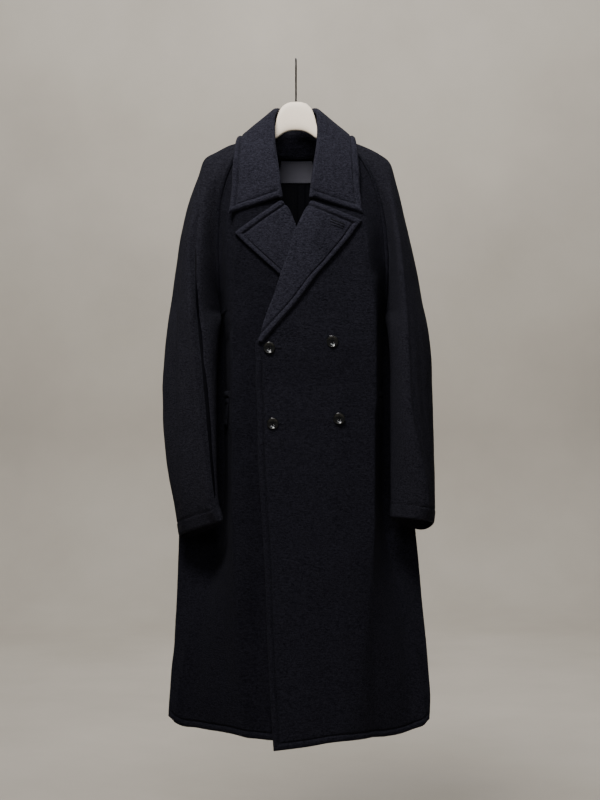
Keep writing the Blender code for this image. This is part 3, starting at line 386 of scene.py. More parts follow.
def torso_front(x, z):
    """Depth of the fronts' outer face, without the lap of one front over the other."""
    x, z = np.broadcast_arrays(np.asarray(x, float), np.asarray(z, float))
    left = x < 0
    reach = abs(x)
    turn = np.where(left, torso("turn_l", z), torso("turn_r", z))
    foot = np.where(left, torso("foot_l", z), torso("foot_r", z))
    seam = np.where(left, torso("seam_l", z), torso("seam_r", z))
    turned = ease((reach - turn) / (foot - turn))
    crown = torso("crown", z) + CROWN_DROP * (np.minimum(reach, foot) / turn) ** 3
    beyond = np.clip((reach - foot) / np.maximum(seam - foot, 1.0), 0.0, 1.0)
    side = torso("foot_y", z) + (torso("seam_y", z) - torso("foot_y", z)) * beyond
    fade = 1.0 - SIDE_FOLDS * ease((SIDE_FOLDS_FROM - z) / SIDE_FOLDS_FADE)
    folded = folds_at(FOLDS, x, z) * (1 - turned * fade) * (1 - beyond) ** 2
    return crown * (1 - turned) + side * turned - folded


def lap_offset(x, z):
    """How far the overlap stands off the plain front."""
    edge = follow(UNDERLAP_EDGE["z"], UNDERLAP_EDGE["x"], z)
    roll = follow(UNDERLAP_LAPEL["roll_z"], UNDERLAP_LAPEL["roll_x"], z)
    start = np.where(z > UNDERLAP_LAPEL["roll_z"][0], np.maximum(roll, LEAST_LAP), edge) + LAP_PAST
    return follow(LAP["z"], LAP["offset"], z) * (1.0 - ease((x - start) / LAP_FADE))


def front_face(side, x, z):
    """Depth of the outer face of the left front (the underlap) or the right front (the overlap)."""
    return torso_front(x, z) - (lap_offset(x, z) if side == RIGHT else 0.0)


def front_edge(side, z):
    """Where a front ends towards the opening: the neck seam, then the roll line, then the edge."""
    lapel = OVERLAP_LAPEL if side == RIGHT else UNDERLAP_LAPEL
    below = OVERLAP_EDGE if side == RIGHT else UNDERLAP_EDGE
    neck_z = NECK["z"][:NECK_FRONT_ROWS]
    neck_x = NECK["x"][:NECK_FRONT_ROWS] * side
    neck_x[0] = lapel["roll_x"][-1]
    neck_z = np.append(lapel["roll_z"][-1], neck_z[1:])
    neck = follow(neck_z, neck_x, z)
    roll = follow(lapel["roll_z"], lapel["roll_x"], z)
    edge = follow(below["z"], below["x"], z)
    close = ease((lapel["roll_z"][0] + ROLL_ENDS_ABOVE - z) / ROLL_ENDS_OVER)
    return np.where(z > lapel["roll_z"][-1], neck, roll * (1 - close) + edge * close)


def row_level(row):
    return follow(np.arange(len(TORSO["z"])), TORSO["z"], row)


def hem_drop(profile, x, z):
    """The hem isn't level, and the rows just above it follow it more and more."""
    share = ease((HEM_EASE_FROM - z) / (HEM_EASE_FROM - HEM_LEVEL))
    return (follow(profile["x"], profile["z"], x) - HEM_LEVEL) * share


def front_point(side, across, row):
    """A point of a front: across is 0 at the opening, 1 at its turn, 2 at its foot and 3 at the seam."""
    z = row_level(row)
    tag = "l" if side == LEFT else "r"
    inner = front_edge(side, z)
    turn, foot, seam = (side * torso(name + tag, z) for name in ("turn_", "foot_", "seam_"))
    above = row <= ARMPIT
    foot = np.where(above, turn + (seam - turn) * FOOT_SHARE, foot)
    turn = np.where(side * (turn - inner) < LEAST_TURN, inner + (seam - inner) * TURN_SHARE, turn)
    foot = np.where(side * (foot - turn) < LEAST_FOOT, turn + (seam - turn) * FOOT_SHARE, foot)
    x = np.where(
        across < 1,
        inner + (turn - inner) * across,
        np.where(across < 2, turn + (foot - turn) * (across - 1), foot + (seam - foot) * (across - 2)),
    )
    return point(x, front_face(side, x, z), z + hem_drop(HEM[side], x, z))


def seam_point(side, row):
    return front_point(side, np.float64(3.0), row)


def back_seam_point(side, row):
    """The back's edge: its raglan seam down to the armpit, and the side seam below."""
    rows = np.arange(ARMPIT + 1)
    name = "left" if side == LEFT else "right"
    raglan = point(
        side * follow(rows, BACK_EDGE[name], row),
        follow(rows, BACK_EDGE["y"], row),
        follow(rows, BACK_EDGE["z"], row),
    )
    return np.where(np.asarray(row)[..., None] <= ARMPIT, raglan, seam_point(side, row))


# The back's roundness, and the rows over which its neck and its hem pull its rows to their lines.
# SEAM_KEPT is how soon the hem stops moving the rows toward the side seams.
ROUND_HIGH, ROUND_MORE, ROUND_FROM, ROUND_ROWS = 2.6, 3.4, 4.0, 8.0
NECK_ROWS, HEM_FROM_ROW, HEM_ROWS = 3.0, 21.0, 3.0
SEAM_KEPT = 8


def back_point(across, row):
    """A point of the back panel, across from -1 at the left seam to 1 at the right one."""
    left, right = back_seam_point(LEFT, row), back_seam_point(RIGHT, row)
    t = (across + 1.0) / 2.0
    edge = left * (1 - t)[..., None] + right * t[..., None]
    sharp = ROUND_HIGH + ROUND_MORE * ease((row - ROUND_FROM) / ROUND_ROWS)
    round_off = 1.0 - abs(across) ** sharp
    depth = follow(BACK_DEPTH["row"], BACK_DEPTH["depth"], row)
    neck = follow(-NECK["x"], NECK["z"], -abs(edge[..., 0]), level_end=True) - edge[..., 2]
    z = edge[..., 2] + neck * (1.0 - ease(row / NECK_ROWS)) * (abs(across) < 1)
    low = follow(BACK_HEM["x"], BACK_HEM["z"], edge[..., 0]) - z
    z = z + low * ease((row - HEM_FROM_ROW) / HEM_ROWS) * (1.0 - abs(across) ** SEAM_KEPT)
    y = edge[..., 1] + (depth - edge[..., 1]) * round_off
    return point(edge[..., 0], y + folds_at(BACK_FOLDS, edge[..., 0], z) * round_off, z)


def sleeve_point(side, around, row):
    """A point of a sleeve: around is 0 and 4 at its two seams, 1 at the crest, 2 outside and 3 behind."""
    sections = SLEEVES[side]
    rows = np.arange(len(sections["cx"]))
    crest, outer, behind = (
        point(*(follow(rows, sections[name + axis], row) for axis in "xyz")) for name in "ctd"
    )
    inner = point(*(follow(INNER[side]["row"], INNER[side][axis], row) for axis in "xyz"))
    tube = (np.asarray(row) >= ARMPIT)[..., None]
    front = np.where(tube, inner, seam_point(side, np.minimum(row, ARMPIT)))
    back = np.where(tube, inner, back_seam_point(side, np.minimum(row, ARMPIT)))
    half = 0.5 * SLEEVE_ROUND
    closing = ease((np.asarray(row, float) - CLOSING_FROM) / CLOSING_ROWS)[..., None]
    round_inside = half * (crest - behind) * np.array(INSIDE_ROUND)
    start = (1 - closing) * (crest - front) * SEAM_LEAN + closing * round_inside
    end = (1 - closing) * (back - behind) * SEAM_LEAN + closing * round_inside
    lean = np.stack([start, half * (outer - front), half * (behind - crest), half * (back - outer), end])
    return between_stops(np.stack([front, crest, outer, behind, back]), lean[:-1], lean[1:], around)


def back_across(share):
    """Places across the back, closer together toward its seams, for even shares from -1 to 1."""
    return np.sin(share * BACK_BEND) / math.sin(BACK_BEND)


def facing(grid, toward):
    """Unit normals of a grid of points, on the side where its middle column faces toward."""
    normals = unit(np.cross(np.gradient(grid, axis=1), np.gradient(grid, axis=0)))
    return normals * np.sign(np.mean(normals[:, grid.shape[1] // 2] @ np.array(toward, float)))


def cord_height(distance):
    """The edge is turned in and stitched, which leaves a thick roll beyond a groove."""
    return follow(CORD["distance"], CORD["height"], distance)


def shrink(grid, edges, by=SEAM):
    """The grid with the named edges drawn in a little, so that pieces stay apart at a seam."""
    grid = grid.copy()
    for edge in edges:
        line, nearby = {
            "first": (grid[:, 0], grid[:, 1]),
            "last": (grid[:, -1], grid[:, -2]),
            "top": (grid[0], grid[1]),
            "bottom": (grid[-1], grid[-2]),
        }[edge]
        line += unit(nearby - line) * by
    return grid


def spread(*stretches):
    """Numbers from stretches of (start, end, steps), each end shared with the next start."""
    parts = [np.linspace(start, end, steps, endpoint=False) for start, end, steps in stretches]
    return np.append(np.concatenate(parts), stretches[-1][1])


def lapel_point(side, across, along):
    """A point of a lapel: across from the roll line to the edge, along from the bottom to the notch."""
    rows = OVERLAP_LAPEL if side == RIGHT else UNDERLAP_LAPEL
    keys = np.linspace(0, 1, len(rows["roll_x"]))
    roll_x, roll_z, edge_x, edge_z = (follow(keys, column, along) for column in rows.values())
    x = roll_x + (edge_x - roll_x) * across
    z = roll_z + (edge_z - roll_z) * across
    if side == RIGHT:
        shown = ease((along - 0.25) / 0.4)
    else:
        shown = ease((-x - UNDER_SHOWS) / UNDER_SHOWS_OVER) * ease((along - 0.3) / 0.3)
    lift = LAPEL_LIFT + LAPEL_BELLY * shown * np.sin(math.pi * np.clip(across, 0, 1)) ** 0.8
    return point(x, front_face(side, x, z) - LAPEL - lift - LAPEL_CLEAR, z)


def edge_distances(grid, edges):
    """Distance of each point from the nearest of the named edges, along the grid."""
    across = np.linalg.norm(np.diff(grid, axis=1), axis=-1)
    along = np.linalg.norm(np.diff(grid, axis=0), axis=-1)
    zero_column, zero_row = np.zeros((len(grid), 1)), np.zeros((1, grid.shape[1]))
    from_first = np.concatenate([zero_column, np.cumsum(across, axis=1)], axis=1)
    from_top = np.concatenate([zero_row, np.cumsum(along, axis=0)], axis=0)
    ways = {
        "first": from_first,
        "last": from_first[:, -1:] - from_first,
        "top": from_top,
        "bottom": from_top[-1:] - from_top,
    }
    return np.min([ways[edge] for edge in edges], axis=0)


def collar_point(across, along):
    """A point of the collar: across is 0 at the neck seam, 1 to 3 over the roll and 4 at its edge.

    along runs from -1 at the left notch, over 0 at the middle of the back, to 1 at the right notch."""
    side = np.where(along < 0, -1.0, 1.0)
    rows = COLLAR_SECTIONS
    count = len(rows["neck"]) - 1
    place = (1.0 - abs(along)) * count
    keys = np.arange(count + 1)
    at = {name: follow(keys, column, place, level_end=name[-1] in "yz") for name, column in rows.items()}
    neck_keys = np.arange(len(NECK["x"]))
    neck = point(*(follow(neck_keys, NECK[axis], at["neck"], level_end=axis in "yz") for axis in "xyz"))
    roll = point(at["roll_x"], at["roll_y"], at["roll_z"])
    edge = point(at["edge_x"], at["edge_y"], at["edge_z"])
    neck = neck + point(*STAND_SET_IN) * (1.0 - ease((place - SET_IN_UNTIL) / SET_IN_FADE))[..., None]
    neck = neck + unit(roll - neck) * STAND_CLEAR
    down_stand, down_fall = unit(neck - roll), unit(edge - roll)
    tip = -unit(down_stand + down_fall)
    wide = unit(down_fall - down_stand)
    height = np.linalg.norm(neck - roll, axis=-1, keepdims=True)
    radius = np.minimum(ROLL_RADIUS, height * ROLL_SHARE)
    middle = roll - tip * radius
    turn_in, turn_out = middle - wide * radius, middle + wide * radius
    stops = np.stack([neck, turn_in, roll, turn_out, edge])
    bend = radius * QUARTER
    stand_long = np.linalg.norm(turn_in - neck, axis=-1, keepdims=True)
    fall_long = np.linalg.norm(edge - turn_out, axis=-1, keepdims=True)
    fall_starts = unit(edge - turn_out - tip * FALL_LEAN) * fall_long
    lean_out = [turn_in - neck, tip * bend, wide * bend, fall_starts]
    lean_in = [tip * stand_long * STAND_LEAN, wide * bend, -tip * bend, edge - turn_out]
    spot = between_stops(stops, np.stack(lean_out), np.stack(lean_in), across)
    return spot * point(side, 1.0, 1.0)


PER_ROW = 7
CORD_REACH, CORD_STEPS = 18.2, 15
RIM_ANGLES = (45.0, 90.0, 135.0)
STITCH_AT = 13.0
BODY_ROWS = spread((0, 23, 23 * PER_ROW), (23, 23.55, 5), (23.55, 24, 14))
SLEEVE_ROWS = spread((0, 17, 17 * PER_ROW), (17, 17.3, 4), (17.3, 18, 16))
SEAM_ROWS = ARMPIT * PER_ROW
SLEEVE_AROUND = np.concatenate([np.linspace(0, 1.8, 82), np.linspace(1.8, 4, 56)[1:]])
BACK_BEND = math.radians(68)

# Relief by distance from an edge: the lapped raglan seam, and a cuff's turned-up hem.
RAGLAN_LAP = table("distance height", (
    (0, 0.0), (1.5, 2.2), (5.2, 2.2), (7.4, -2.2), (9.2, 0.3), (13, 0.0),
))
CUFF = table("distance height", (
    (0, -0.6), (2, 0.5), (6, 0.9), (24, 0.7), (27.5, -0.9), (30, 0.3), (36, 0.0),
))
SEAM_STITCH_AT, CUFF_STITCH_AT = 7.4, 27.5
# How many rows above the armpit the raglan's lap fades out over.
LAP_ROWS = 5.0
# Inside the cloth: how wide the facings and the hem's turning are, before the lining begins.
FACING, HEM_TURN = 78.0, 48.0
# The hem's roll fades out over this distance from a side seam.
HEM_CORNER = 16.0
ALL_EDGES = ("top", "bottom", "first", "last")

# Marks on the fronts where turnings lie behind the cloth, and creases: from, to, width and height.
MARKS = table("x_a z_a x_b z_b width height", (
    (-214, -1252, -128, -1260, 2.2, -0.9),
    (-128, -1260, -86, -1274, 2.2, -0.9),
    (-84, -1276, -84, -1326, 2.4, -0.9),
    (154, -1272, 232, -1262, 2.2, -0.9),
    (151, -1084, 152, -1318, 2.6, -0.9),
    (14, -961, 122, -963, 4.0, -0.8),
    (20, -566, 60, -569, 7.0, 0.9),
    (-40, -716, 70, -714, 9.0, 0.8),
    (-137, -296, -133, -552, 6.0, 3.4),
    (-126, -300, -122.5, -548, 3.6, -2.2),
    (-112, -530, -106, -730, 19.0, 5.0),
    (152, -450, 150, -690, 13.0, 4.0),
    (-150, -900, -162, -1290, 22.0, 2.0),
    (192, -980, 200, -1290, 22.0, 1.6),
))


def waves(seed, count, shortest, longest):
    """Directions, lengths and starts of many small waves, for cloth that isn't quite even."""
    random = np.random.default_rng(seed)
    turns = unit(random.normal(size=(count, 3)))
    turns = turns * math.tau / random.uniform(shortest, longest, size=(count, 1))
    return turns, random.uniform(0, math.tau, count)


# Folds down the sleeves, each a route of (row, place around), and the rows they fade in and out over.
CREASES = {
    LEFT: (
        ((7, 1.26), (9, 1.11), (11, 1.14), (13, 1.14), (15, 1.07), (18, 1.04)),
        ((7, 1.1), (9, 0.96), (11, 0.99), (13, 0.98), (15, 0.91), (18, 0.88)),
        ((6, 1.5), (9, 1.47), (13, 1.52), (15, 1.64), (18, 1.85)),
    ),
    RIGHT: (
        ((7, 1.05), (9, 1.05), (11, 1.02), (12.5, 1.0), (13.6, 1.1), (15, 1.18), (18, 1.1)),
        ((6, 1.4), (18, 1.5)),
    ),
}
# Each fold's reach on its outer and its inner side, and its height.
FOLD_SHAPES = {
    LEFT: ((17.0, 4.2, 7.5), (5.5, 11.0, -4.5), (9.0, 24.0, 5.0)),
    RIGHT: ((4.0, 26.0, 5.0), (10.0, 10.0, -1.6)),
}
CREASE_FROM, CREASE_FADE_IN = 4.5, 3.0
CREASE_TO, CREASE_FADE_OUT = 18.2, 1.5
# A low swelling at the armpit, which keeps the sleeve's cloth closed to the front and the back.
ARMPIT_FILL, ARMPIT_ROW, ARMPIT_ROWS, ARMPIT_REACH = 0.9, 9.2, 0.5, 0.3

UNEVEN, FELTED = waves(7, 26, 38, 120), waves(11, 40, 7, 16)


def wavy(which, points):
    turns, starts = which
    total = np.zeros(points.shape[:-1])
    for turn, begin in zip(turns, starts):
        total += np.sin(points @ turn + begin)
    return total / math.sqrt(len(starts))


def cloth_relief(grid, uneven=0.3, felted=0.07):
    return uneven * wavy(UNEVEN, grid) + felted * wavy(FELTED, grid)


def marks_at(grid):
    total = np.zeros(grid.shape[:-1])
    x, z = grid[..., 0], grid[..., 2]
    for x_a, z_a, x_b, z_b, width, height in zip(*MARKS.values()):
        long = (x_b - x_a) ** 2 + (z_b - z_a) ** 2
        along = np.clip(((x - x_a) * (x_b - x_a) + (z - z_a) * (z_b - z_a)) / long, 0.0, 1.0)
        away = np.hypot(x - x_a - (x_b - x_a) * along, z - z_a - (z_b - z_a) * along)
        total += height * np.exp(-((away / width) ** 2))
    return total


def profile(rows, distance):
    return follow(rows["distance"], rows["height"], distance)


class Nodes:
    """A material's nodes, each made and linked in one line."""

    def __init__(self, name):
        self.material = bpy.data.materials.new(name)
        self.material.use_nodes = True
        self.tree = self.material.node_tree
        self.shader = self.tree.nodes["Principled BSDF"]
        self.place = self.tree.nodes.new("ShaderNodeTexCoord").outputs["Object"]

    def put(self, socket, value):
        """Links a socket to another one or sets its value. A colour of three numbers gets its alpha."""
        if isinstance(value, bpy.types.NodeSocket):
            self.tree.links.new(value, socket)
        elif socket.type == "RGBA" and len(value) == 3:
            socket.default_value = (*value, 1.0)
        else:
            socket.default_value = value

    def add(self, kind, values, **settings):
        node = self.tree.nodes.new(kind)
        for setting, value in settings.items():
            setattr(node, setting, value)
        for socket, value in values.items():
            self.put(node.inputs[socket], value)
        return node

    def noise(self, scale, detail=4.0, rough=0.6, vector=None):
        values = {"Vector": vector or self.place, "Scale": scale, "Detail": detail, "Roughness": rough}
        return self.add("ShaderNodeTexNoise", values).outputs["Fac"]

    def bands(self, values, **settings):
        values = {"Vector": self.place, **values}
        return self.add("ShaderNodeTexWave", values, wave_type="BANDS", **settings).outputs["Fac"]

    def ramp(self, fac, *stops):
        node = self.add("ShaderNodeValToRGB", {"Fac": fac})
        while len(node.color_ramp.elements) < len(stops):
            node.color_ramp.elements.new(0.5)
        for element, (place, colour) in zip(node.color_ramp.elements, stops):
            element.position = place
            element.color = (*colour, 1.0)
        return node.outputs["Color"]

    def greys(self, fac, *stops):
        return self.ramp(fac, *((place, (grey, grey, grey)) for place, grey in stops))

    def mix(self, a, b, fac):
        return self.add("ShaderNodeMix", {0: fac, 6: a, 7: b}, data_type="RGBA").outputs[2]

    def maths(self, operation, a, b):
        return self.add("ShaderNodeMath", {0: a, 1: b}, operation=operation).outputs[0]

    def bump(self, height, distance, strength=1.0, onto=None):
        values = {"Height": height, "Distance": distance, "Strength": strength}
        if onto:
            values["Normal"] = onto
        return self.add("ShaderNodeBump", values).outputs["Normal"]

    def finish(self, colour, normal=None, **sockets):
        self.put(self.shader.inputs["Base Color"], colour)
        if normal:
            self.put(self.shader.inputs["Normal"], normal)
        for name, value in sockets.items():
            self.put(self.shader.inputs[name.replace("_", " ")], value)
        return self.material


def wool_material(name, dark, light, fuzz):
    """Felted wool: matted short fibres in small clumps, with a dusty sheen."""
    nodes = Nodes(name)
    long_way = nodes.add("ShaderNodeMapping", {"Vector": nodes.place, "Scale": (0.6, 0.8, 1.35)}).outputs[0]
    clumps = nodes.noise(260.0, 2.0, 0.6, long_way)
    matted = nodes.noise(640.0, 3.0, 0.75, long_way)
    fibres = nodes.noise(1900.0, 2.0, 0.8)
    tone = nodes.maths("ADD", nodes.maths("MULTIPLY", clumps, 0.22), nodes.maths("MULTIPLY", matted, 0.48))
    tone = nodes.maths("ADD", tone, nodes.maths("MULTIPLY", fibres, 0.3))
    between = [(low + high) / 2 for low, high in zip(dark, light)]
    colour = nodes.ramp(tone, (0.41, dark), (0.5, between), (0.59, light))
    normal = nodes.bump(clumps, 0.0022, 0.8)
    normal = nodes.bump(matted, 0.002, 1.0, onto=normal)
    normal = nodes.bump(fibres, 0.0005, 0.6, onto=normal)
    sheen = {"Sheen_Weight": fuzz, "Sheen_Roughness": 0.5, "Sheen_Tint": (0.6, 0.62, 0.78, 1.0)}
    return nodes.finish(colour, normal, Roughness=1.0, Specular_IOR_Level=0.03, **sheen)


def mottled_material(name, dark, light, noise, bump=None, **sockets):
    """A colour that wavers between two tones, with fine relief where bump gives its depth and strength."""
    nodes = Nodes(name)
    waver = nodes.noise(*noise)
    normal = nodes.bump(waver, *bump) if bump else None
    return nodes.finish(nodes.mix(dark, light, waver), normal, **sockets)


def lining_material():
    nodes = Nodes("lining_twill")
    turned = {"Vector": nodes.place, "Rotation": (0.0, math.radians(58), 0.0)}
    slant = nodes.add("ShaderNodeMapping", turned).outputs[0]
    twill = nodes.bands({"Vector": slant, "Scale": 300.0, "Distortion": 0.4})
    colour = nodes.mix((0.0006, 0.0006, 0.0014), (0.0015, 0.0015, 0.003), nodes.noise(60.0))
    return nodes.finish(colour, nodes.bump(twill, 0.0001, 0.5), Roughness=0.5, Specular_IOR_Level=0.05)


def label_material():
    nodes = Nodes("label_rib")
    ribs = nodes.bands({"Scale": 190.0}, bands_direction="Z")
    colour = nodes.mix((0.008, 0.0075, 0.012), (0.052, 0.05, 0.072), ribs)
    return nodes.finish(colour, nodes.bump(ribs, 0.0004, 0.8), Roughness=0.75, Sheen_Weight=0.2)


def button_material():
    nodes = Nodes("button_polished")
    cloudy = nodes.noise(220.0, 4.0, 0.6)
    colour = nodes.mix((0.003, 0.003, 0.003), (0.01, 0.01, 0.009), cloudy)
    rough = nodes.greys(nodes.noise(900.0, 2.0, 0.5), (0.4, 0.06), (0.7, 0.13))
    return nodes.finish(colour, nodes.bump(cloudy, 0.0001, 0.3), Roughness=rough, Specular_IOR_Level=0.6)


def cream_material():
    nodes = Nodes("cream_paint")
    fine = nodes.noise(700.0, 2.0, 0.5)
    colour = nodes.mix((0.92, 0.79, 0.63), (0.96, 0.85, 0.7), nodes.noise(18.0, 4.0, 0.6))
    rough = nodes.greys(fine, (0.3, 0.42), (0.7, 0.55))
    return nodes.finish(colour, nodes.bump(fine, 0.0001, 0.35), Roughness=rough)


WOOL = wool_material("wool_body", (0.002, 0.002, 0.0034), (0.0185, 0.0182, 0.0255), 0.02)
# Painted shade: the left front's wool is a darker copy of the body's wool, for the shade that lies on it.
WOOL_UNDER_PAINTED_SHADE = wool_material("wool_underlap_painted_shade", (0.0015, 0.0015, 0.0026), (0.014, 0.0138, 0.0195), 0.02)
# Painted light: the sleeves' wool is a lighter copy of the body's wool, for the light that falls on them.
WOOL_SLEEVE_PAINTED_LIGHT = wool_material("wool_sleeves_painted_light", (0.003, 0.003, 0.0048), (0.0245, 0.024, 0.032), 0.02)
# Painted light: the collar's, lapels' and buttonhole lips' wool is a lighter copy of the body's wool, for
# the light from above that falls on them.
WOOL_COLLAR_PAINTED_LIGHT = wool_material("wool_collar_painted_light", (0.0035, 0.0035, 0.006), (0.033, 0.0325, 0.046), 0.03)
LINING_CLOTH = lining_material()
LABEL_CLOTH = label_material()
POLISHED = button_material()
CREAM = cream_material()
BLACK_WIRE = mottled_material(
    "black_wire", (0.012, 0.012, 0.013), (0.03, 0.03, 0.03), (400.0, 3.0, 0.6), (0.00008, 0.4),
    Roughness=0.38, Metallic=0.7,
)
THREAD = mottled_material(
    "thread", (0.0015, 0.0015, 0.002), (0.005, 0.005, 0.006), (2600.0, 2.0, 0.5), (0.0001, 0.6),
    Roughness=0.8, Specular_IOR_Level=0.1,
)
PLAIN_WALL = mottled_material(
    "plain_wall", (0.36, 0.325, 0.275), (0.5, 0.46, 0.4), (1.6, 6.0, 0.6),
    Roughness=0.9, Specular_IOR_Level=0.1,
)


def new_mesh(name, points, faces, finishes):
    """A mesh from points in millimetres."""
    mesh = bpy.data.meshes.new(name)
    mesh.from_pydata((np.asarray(points) * MM).tolist(), [], [list(face) for face in faces])
    for finish in finishes:
        mesh.materials.append(finish)
    return mesh


def in_scene(name, data):
    """A new object in the scene."""
    made = bpy.data.objects.new(name, data)
    bpy.context.scene.collection.objects.link(made)
    return made


def add_piece(name, points, faces, finishes, replaced=(), kinds=None):
    """A piece of the coat or its hanger, riding on the part's one body."""
    mesh = new_mesh(name, points, faces, finishes)
    if kinds is not None:
        mesh.polygons.foreach_set("material_index", np.asarray(kinds, dtype=np.int32))
    mesh.validate()
    mesh.shade_smooth()
    mesh.set_sharp_from_angle(angle=math.radians(50))
    piece = in_scene(name, mesh)
    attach(piece, "root")
    if replaced:
        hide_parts(*replaced)
    return piece


def border_of(quads, count):
    """The edges that only one quad has: their two ends, and the quad that each belongs to."""
    starts, ends = quads.reshape(-1), np.roll(quads, -1, axis=1).reshape(-1)
    keys = np.minimum(starts, ends) * count + np.maximum(starts, ends)
    _, first, times = np.unique(keys, return_index=True, return_counts=True)
    border = first[times == 1]
    return starts[border], ends[border], border // 4


def ways_off(points, middles, a, b, home):
    """For each point on a sheet's border, the direction that leads off the sheet."""
    out = (points[a] + points[b]) / 2 - middles[home]
    line = unit(points[b] - points[a])
    out = unit(out - line * np.sum(out * line, axis=1, keepdims=True))
    away = np.zeros(points.shape)
    np.add.at(away, a, out)
    np.add.at(away, b, out)
    return away


def shell(name, outer, inner, finishes, replaced, free=(), joined_from=None, lined=None):
    """A closed wall between two grids of points, with its free edges rounded.

    From the row joined_from on, the last column is the first one again. lined marks the quads whose
    inside has the second finish."""
    number = np.arange(outer[..., 0].size).reshape(outer.shape[:2])
    if joined_from is not None:
        number[joined_from:, -1] = number[joined_from:, 0]
    used, number = np.unique(number, return_inverse=True)
    number = number.reshape(outer.shape[:2])
    count = len(used)
    faces_out, faces_in = outer.reshape(-1, 3)[used], inner.reshape(-1, 3)[used]
    loose = np.zeros(number.shape)
    lines = {"first": (slice(None), 0), "last": (slice(None), -1), "top": 0, "bottom": -1}
    for edge in free:
        loose[lines[edge]] = 1.0
    corners = (number[:-1, :-1], number[:-1, 1:], number[1:, 1:], number[1:, :-1])
    quads = np.stack(corners, axis=-1).reshape(-1, 4)
    middle = faces_out[quads].mean(axis=1)
    diagonals = (faces_out[quads[:, k + 2]] - faces_out[quads[:, k]] for k in (0, 1))
    facing_out = np.sum(np.cross(*diagonals) * (middle - faces_in[quads].mean(axis=1))) > 0
    a, b, home = border_of(quads, count)
    rim = np.unique(a)
    away = unit(ways_off(faces_out, middle, a, b, home)[rim])
    centre, half = (faces_out[rim] + faces_in[rim]) / 2, (faces_out[rim] - faces_in[rim]) / 2
    bulge = np.linalg.norm(half, axis=1, keepdims=True) * loose.reshape(-1)[used][rim][:, None]
    place = np.zeros(count, int)
    place[rim] = np.arange(len(rim))
    points, chain_a, chain_b = [faces_out, faces_in], [a], [b]
    for step, angle in enumerate(np.radians(RIM_ANGLES)):
        points.append(centre + half * math.cos(angle) + away * bulge * math.sin(angle))
        shift = 2 * count + step * len(rim)
        chain_a.append(place[a] + shift)
        chain_b.append(place[b] + shift)
    chain_a.append(a + count)
    chain_b.append(b + count)
    rims = [np.stack(ends, axis=1) for ends in zip(chain_b[:-1], chain_a[:-1], chain_a[1:], chain_b[1:])]
    faces = np.concatenate([quads, quads[:, ::-1] + count, *rims])
    if not facing_out:
        faces = faces[:, ::-1]
    kinds = np.zeros(len(faces), int)
    if lined is not None:
        kinds[len(quads) : 2 * len(quads)] = lined.reshape(-1)
    return add_piece(name, np.concatenate(points), faces.tolist(), finishes, replaced, kinds)


def front_columns(side, rows):
    """Columns for each row of a front: close together at its opening edge, then even to each turn."""
    z = row_level(rows)
    tag = "l" if side == LEFT else "r"
    flat = np.maximum(abs(side * torso("turn_" + tag, z) - front_edge(side, z)), 30.0)
    cord = np.linspace(0, CORD_REACH, CORD_STEPS)[None, :] / flat[:, None]
    t = np.linspace(0, 1, 35)[None, 1:]
    plain = cord[:, -1:] + (1.0 - cord[:, -1:]) * t
    rest = np.repeat(spread((1, 2, 26), (2, 3, 22))[None, 1:], len(rows), axis=0)
    return np.concatenate([cord, plain, rest], axis=1)


def fine_grids():
    grids = {}
    for side, name in ((LEFT, "left_front"), (RIGHT, "right_front")):
        columns = front_columns(side, BODY_ROWS)
        rows = np.repeat(BODY_ROWS[:, None], columns.shape[1], axis=1)
        grids[name] = front_point(side, columns, rows)
    rows, across = np.meshgrid(BODY_ROWS, back_across(np.linspace(-1, 1, 141)), indexing="ij")
    grids["back"] = back_point(across, rows)
    for side, name in ((LEFT, "left_sleeve"), (RIGHT, "right_sleeve")):
        rows, around = np.meshgrid(SLEEVE_ROWS, SLEEVE_AROUND, indexing="ij")
        grids[name] = sleeve_point(side, around, rows)
    toward = {"left_front": (0, -1, 0), "right_front": (0, -1, 0), "back": (0, 1, 0)}
    toward.update({"left_sleeve": (LEFT, 0, 0), "right_sleeve": (RIGHT, 0, 0)})
    return grids, {name: facing(grid, toward[name]) for name, grid in grids.items()}


def share_normals(normals):
    """Makes the normals of neighbours the same along the seams, so that their walls meet evenly."""
    for front, sleeve, back in (("left_front", "left_sleeve", 0), ("right_front", "right_sleeve", -1)):
        front_seam, back_seam = normals[front][:, -1], normals["back"][:, back]
        first, last = normals[sleeve][:, 0], normals[sleeve][:, -1]
        above = slice(0, SEAM_ROWS)
        front_seam[above] = first[above] = unit(front_seam[above] + first[above])
        back_seam[above] = last[above] = unit(back_seam[above] + last[above])
        below = slice(SEAM_ROWS, None)
        front_seam[below] = back_seam[below] = unit(front_seam[below] + back_seam[below])
        first[below] = last[below] = unit(first[below] + last[below])


def line_at(points, normals, distances, value, by_rows, keep=None):
    """The line on a piece where the distance from an edge has one value: its points and normals."""
    if not by_rows:
        points, normals, distances = points.swapaxes(0, 1), normals.swapaxes(0, 1), distances.T
        keep = None if keep is None else keep.T
    line, out = [], []
    for r in range(len(points)):
        order = np.argsort(distances[r])
        reach = distances[r][order]
        if reach[-1] < value:
            continue
        if keep is not None and np.interp(value, reach, keep[r][order]) < value:
            continue
        line.append([np.interp(value, reach, points[r][order, k]) for k in range(3)])
        out.append([np.interp(value, reach, normals[r][order, k]) for k in range(3)])
    return np.array(line), unit(np.array(out))


def ring_faces(rings):
    """Quads between closed rings of point numbers, each ring beside the next."""
    after = np.roll(rings, -1, axis=1)
    return np.stack([rings[:-1], after[:-1], after[1:], rings[1:]], axis=-1).reshape(-1, 4).tolist()


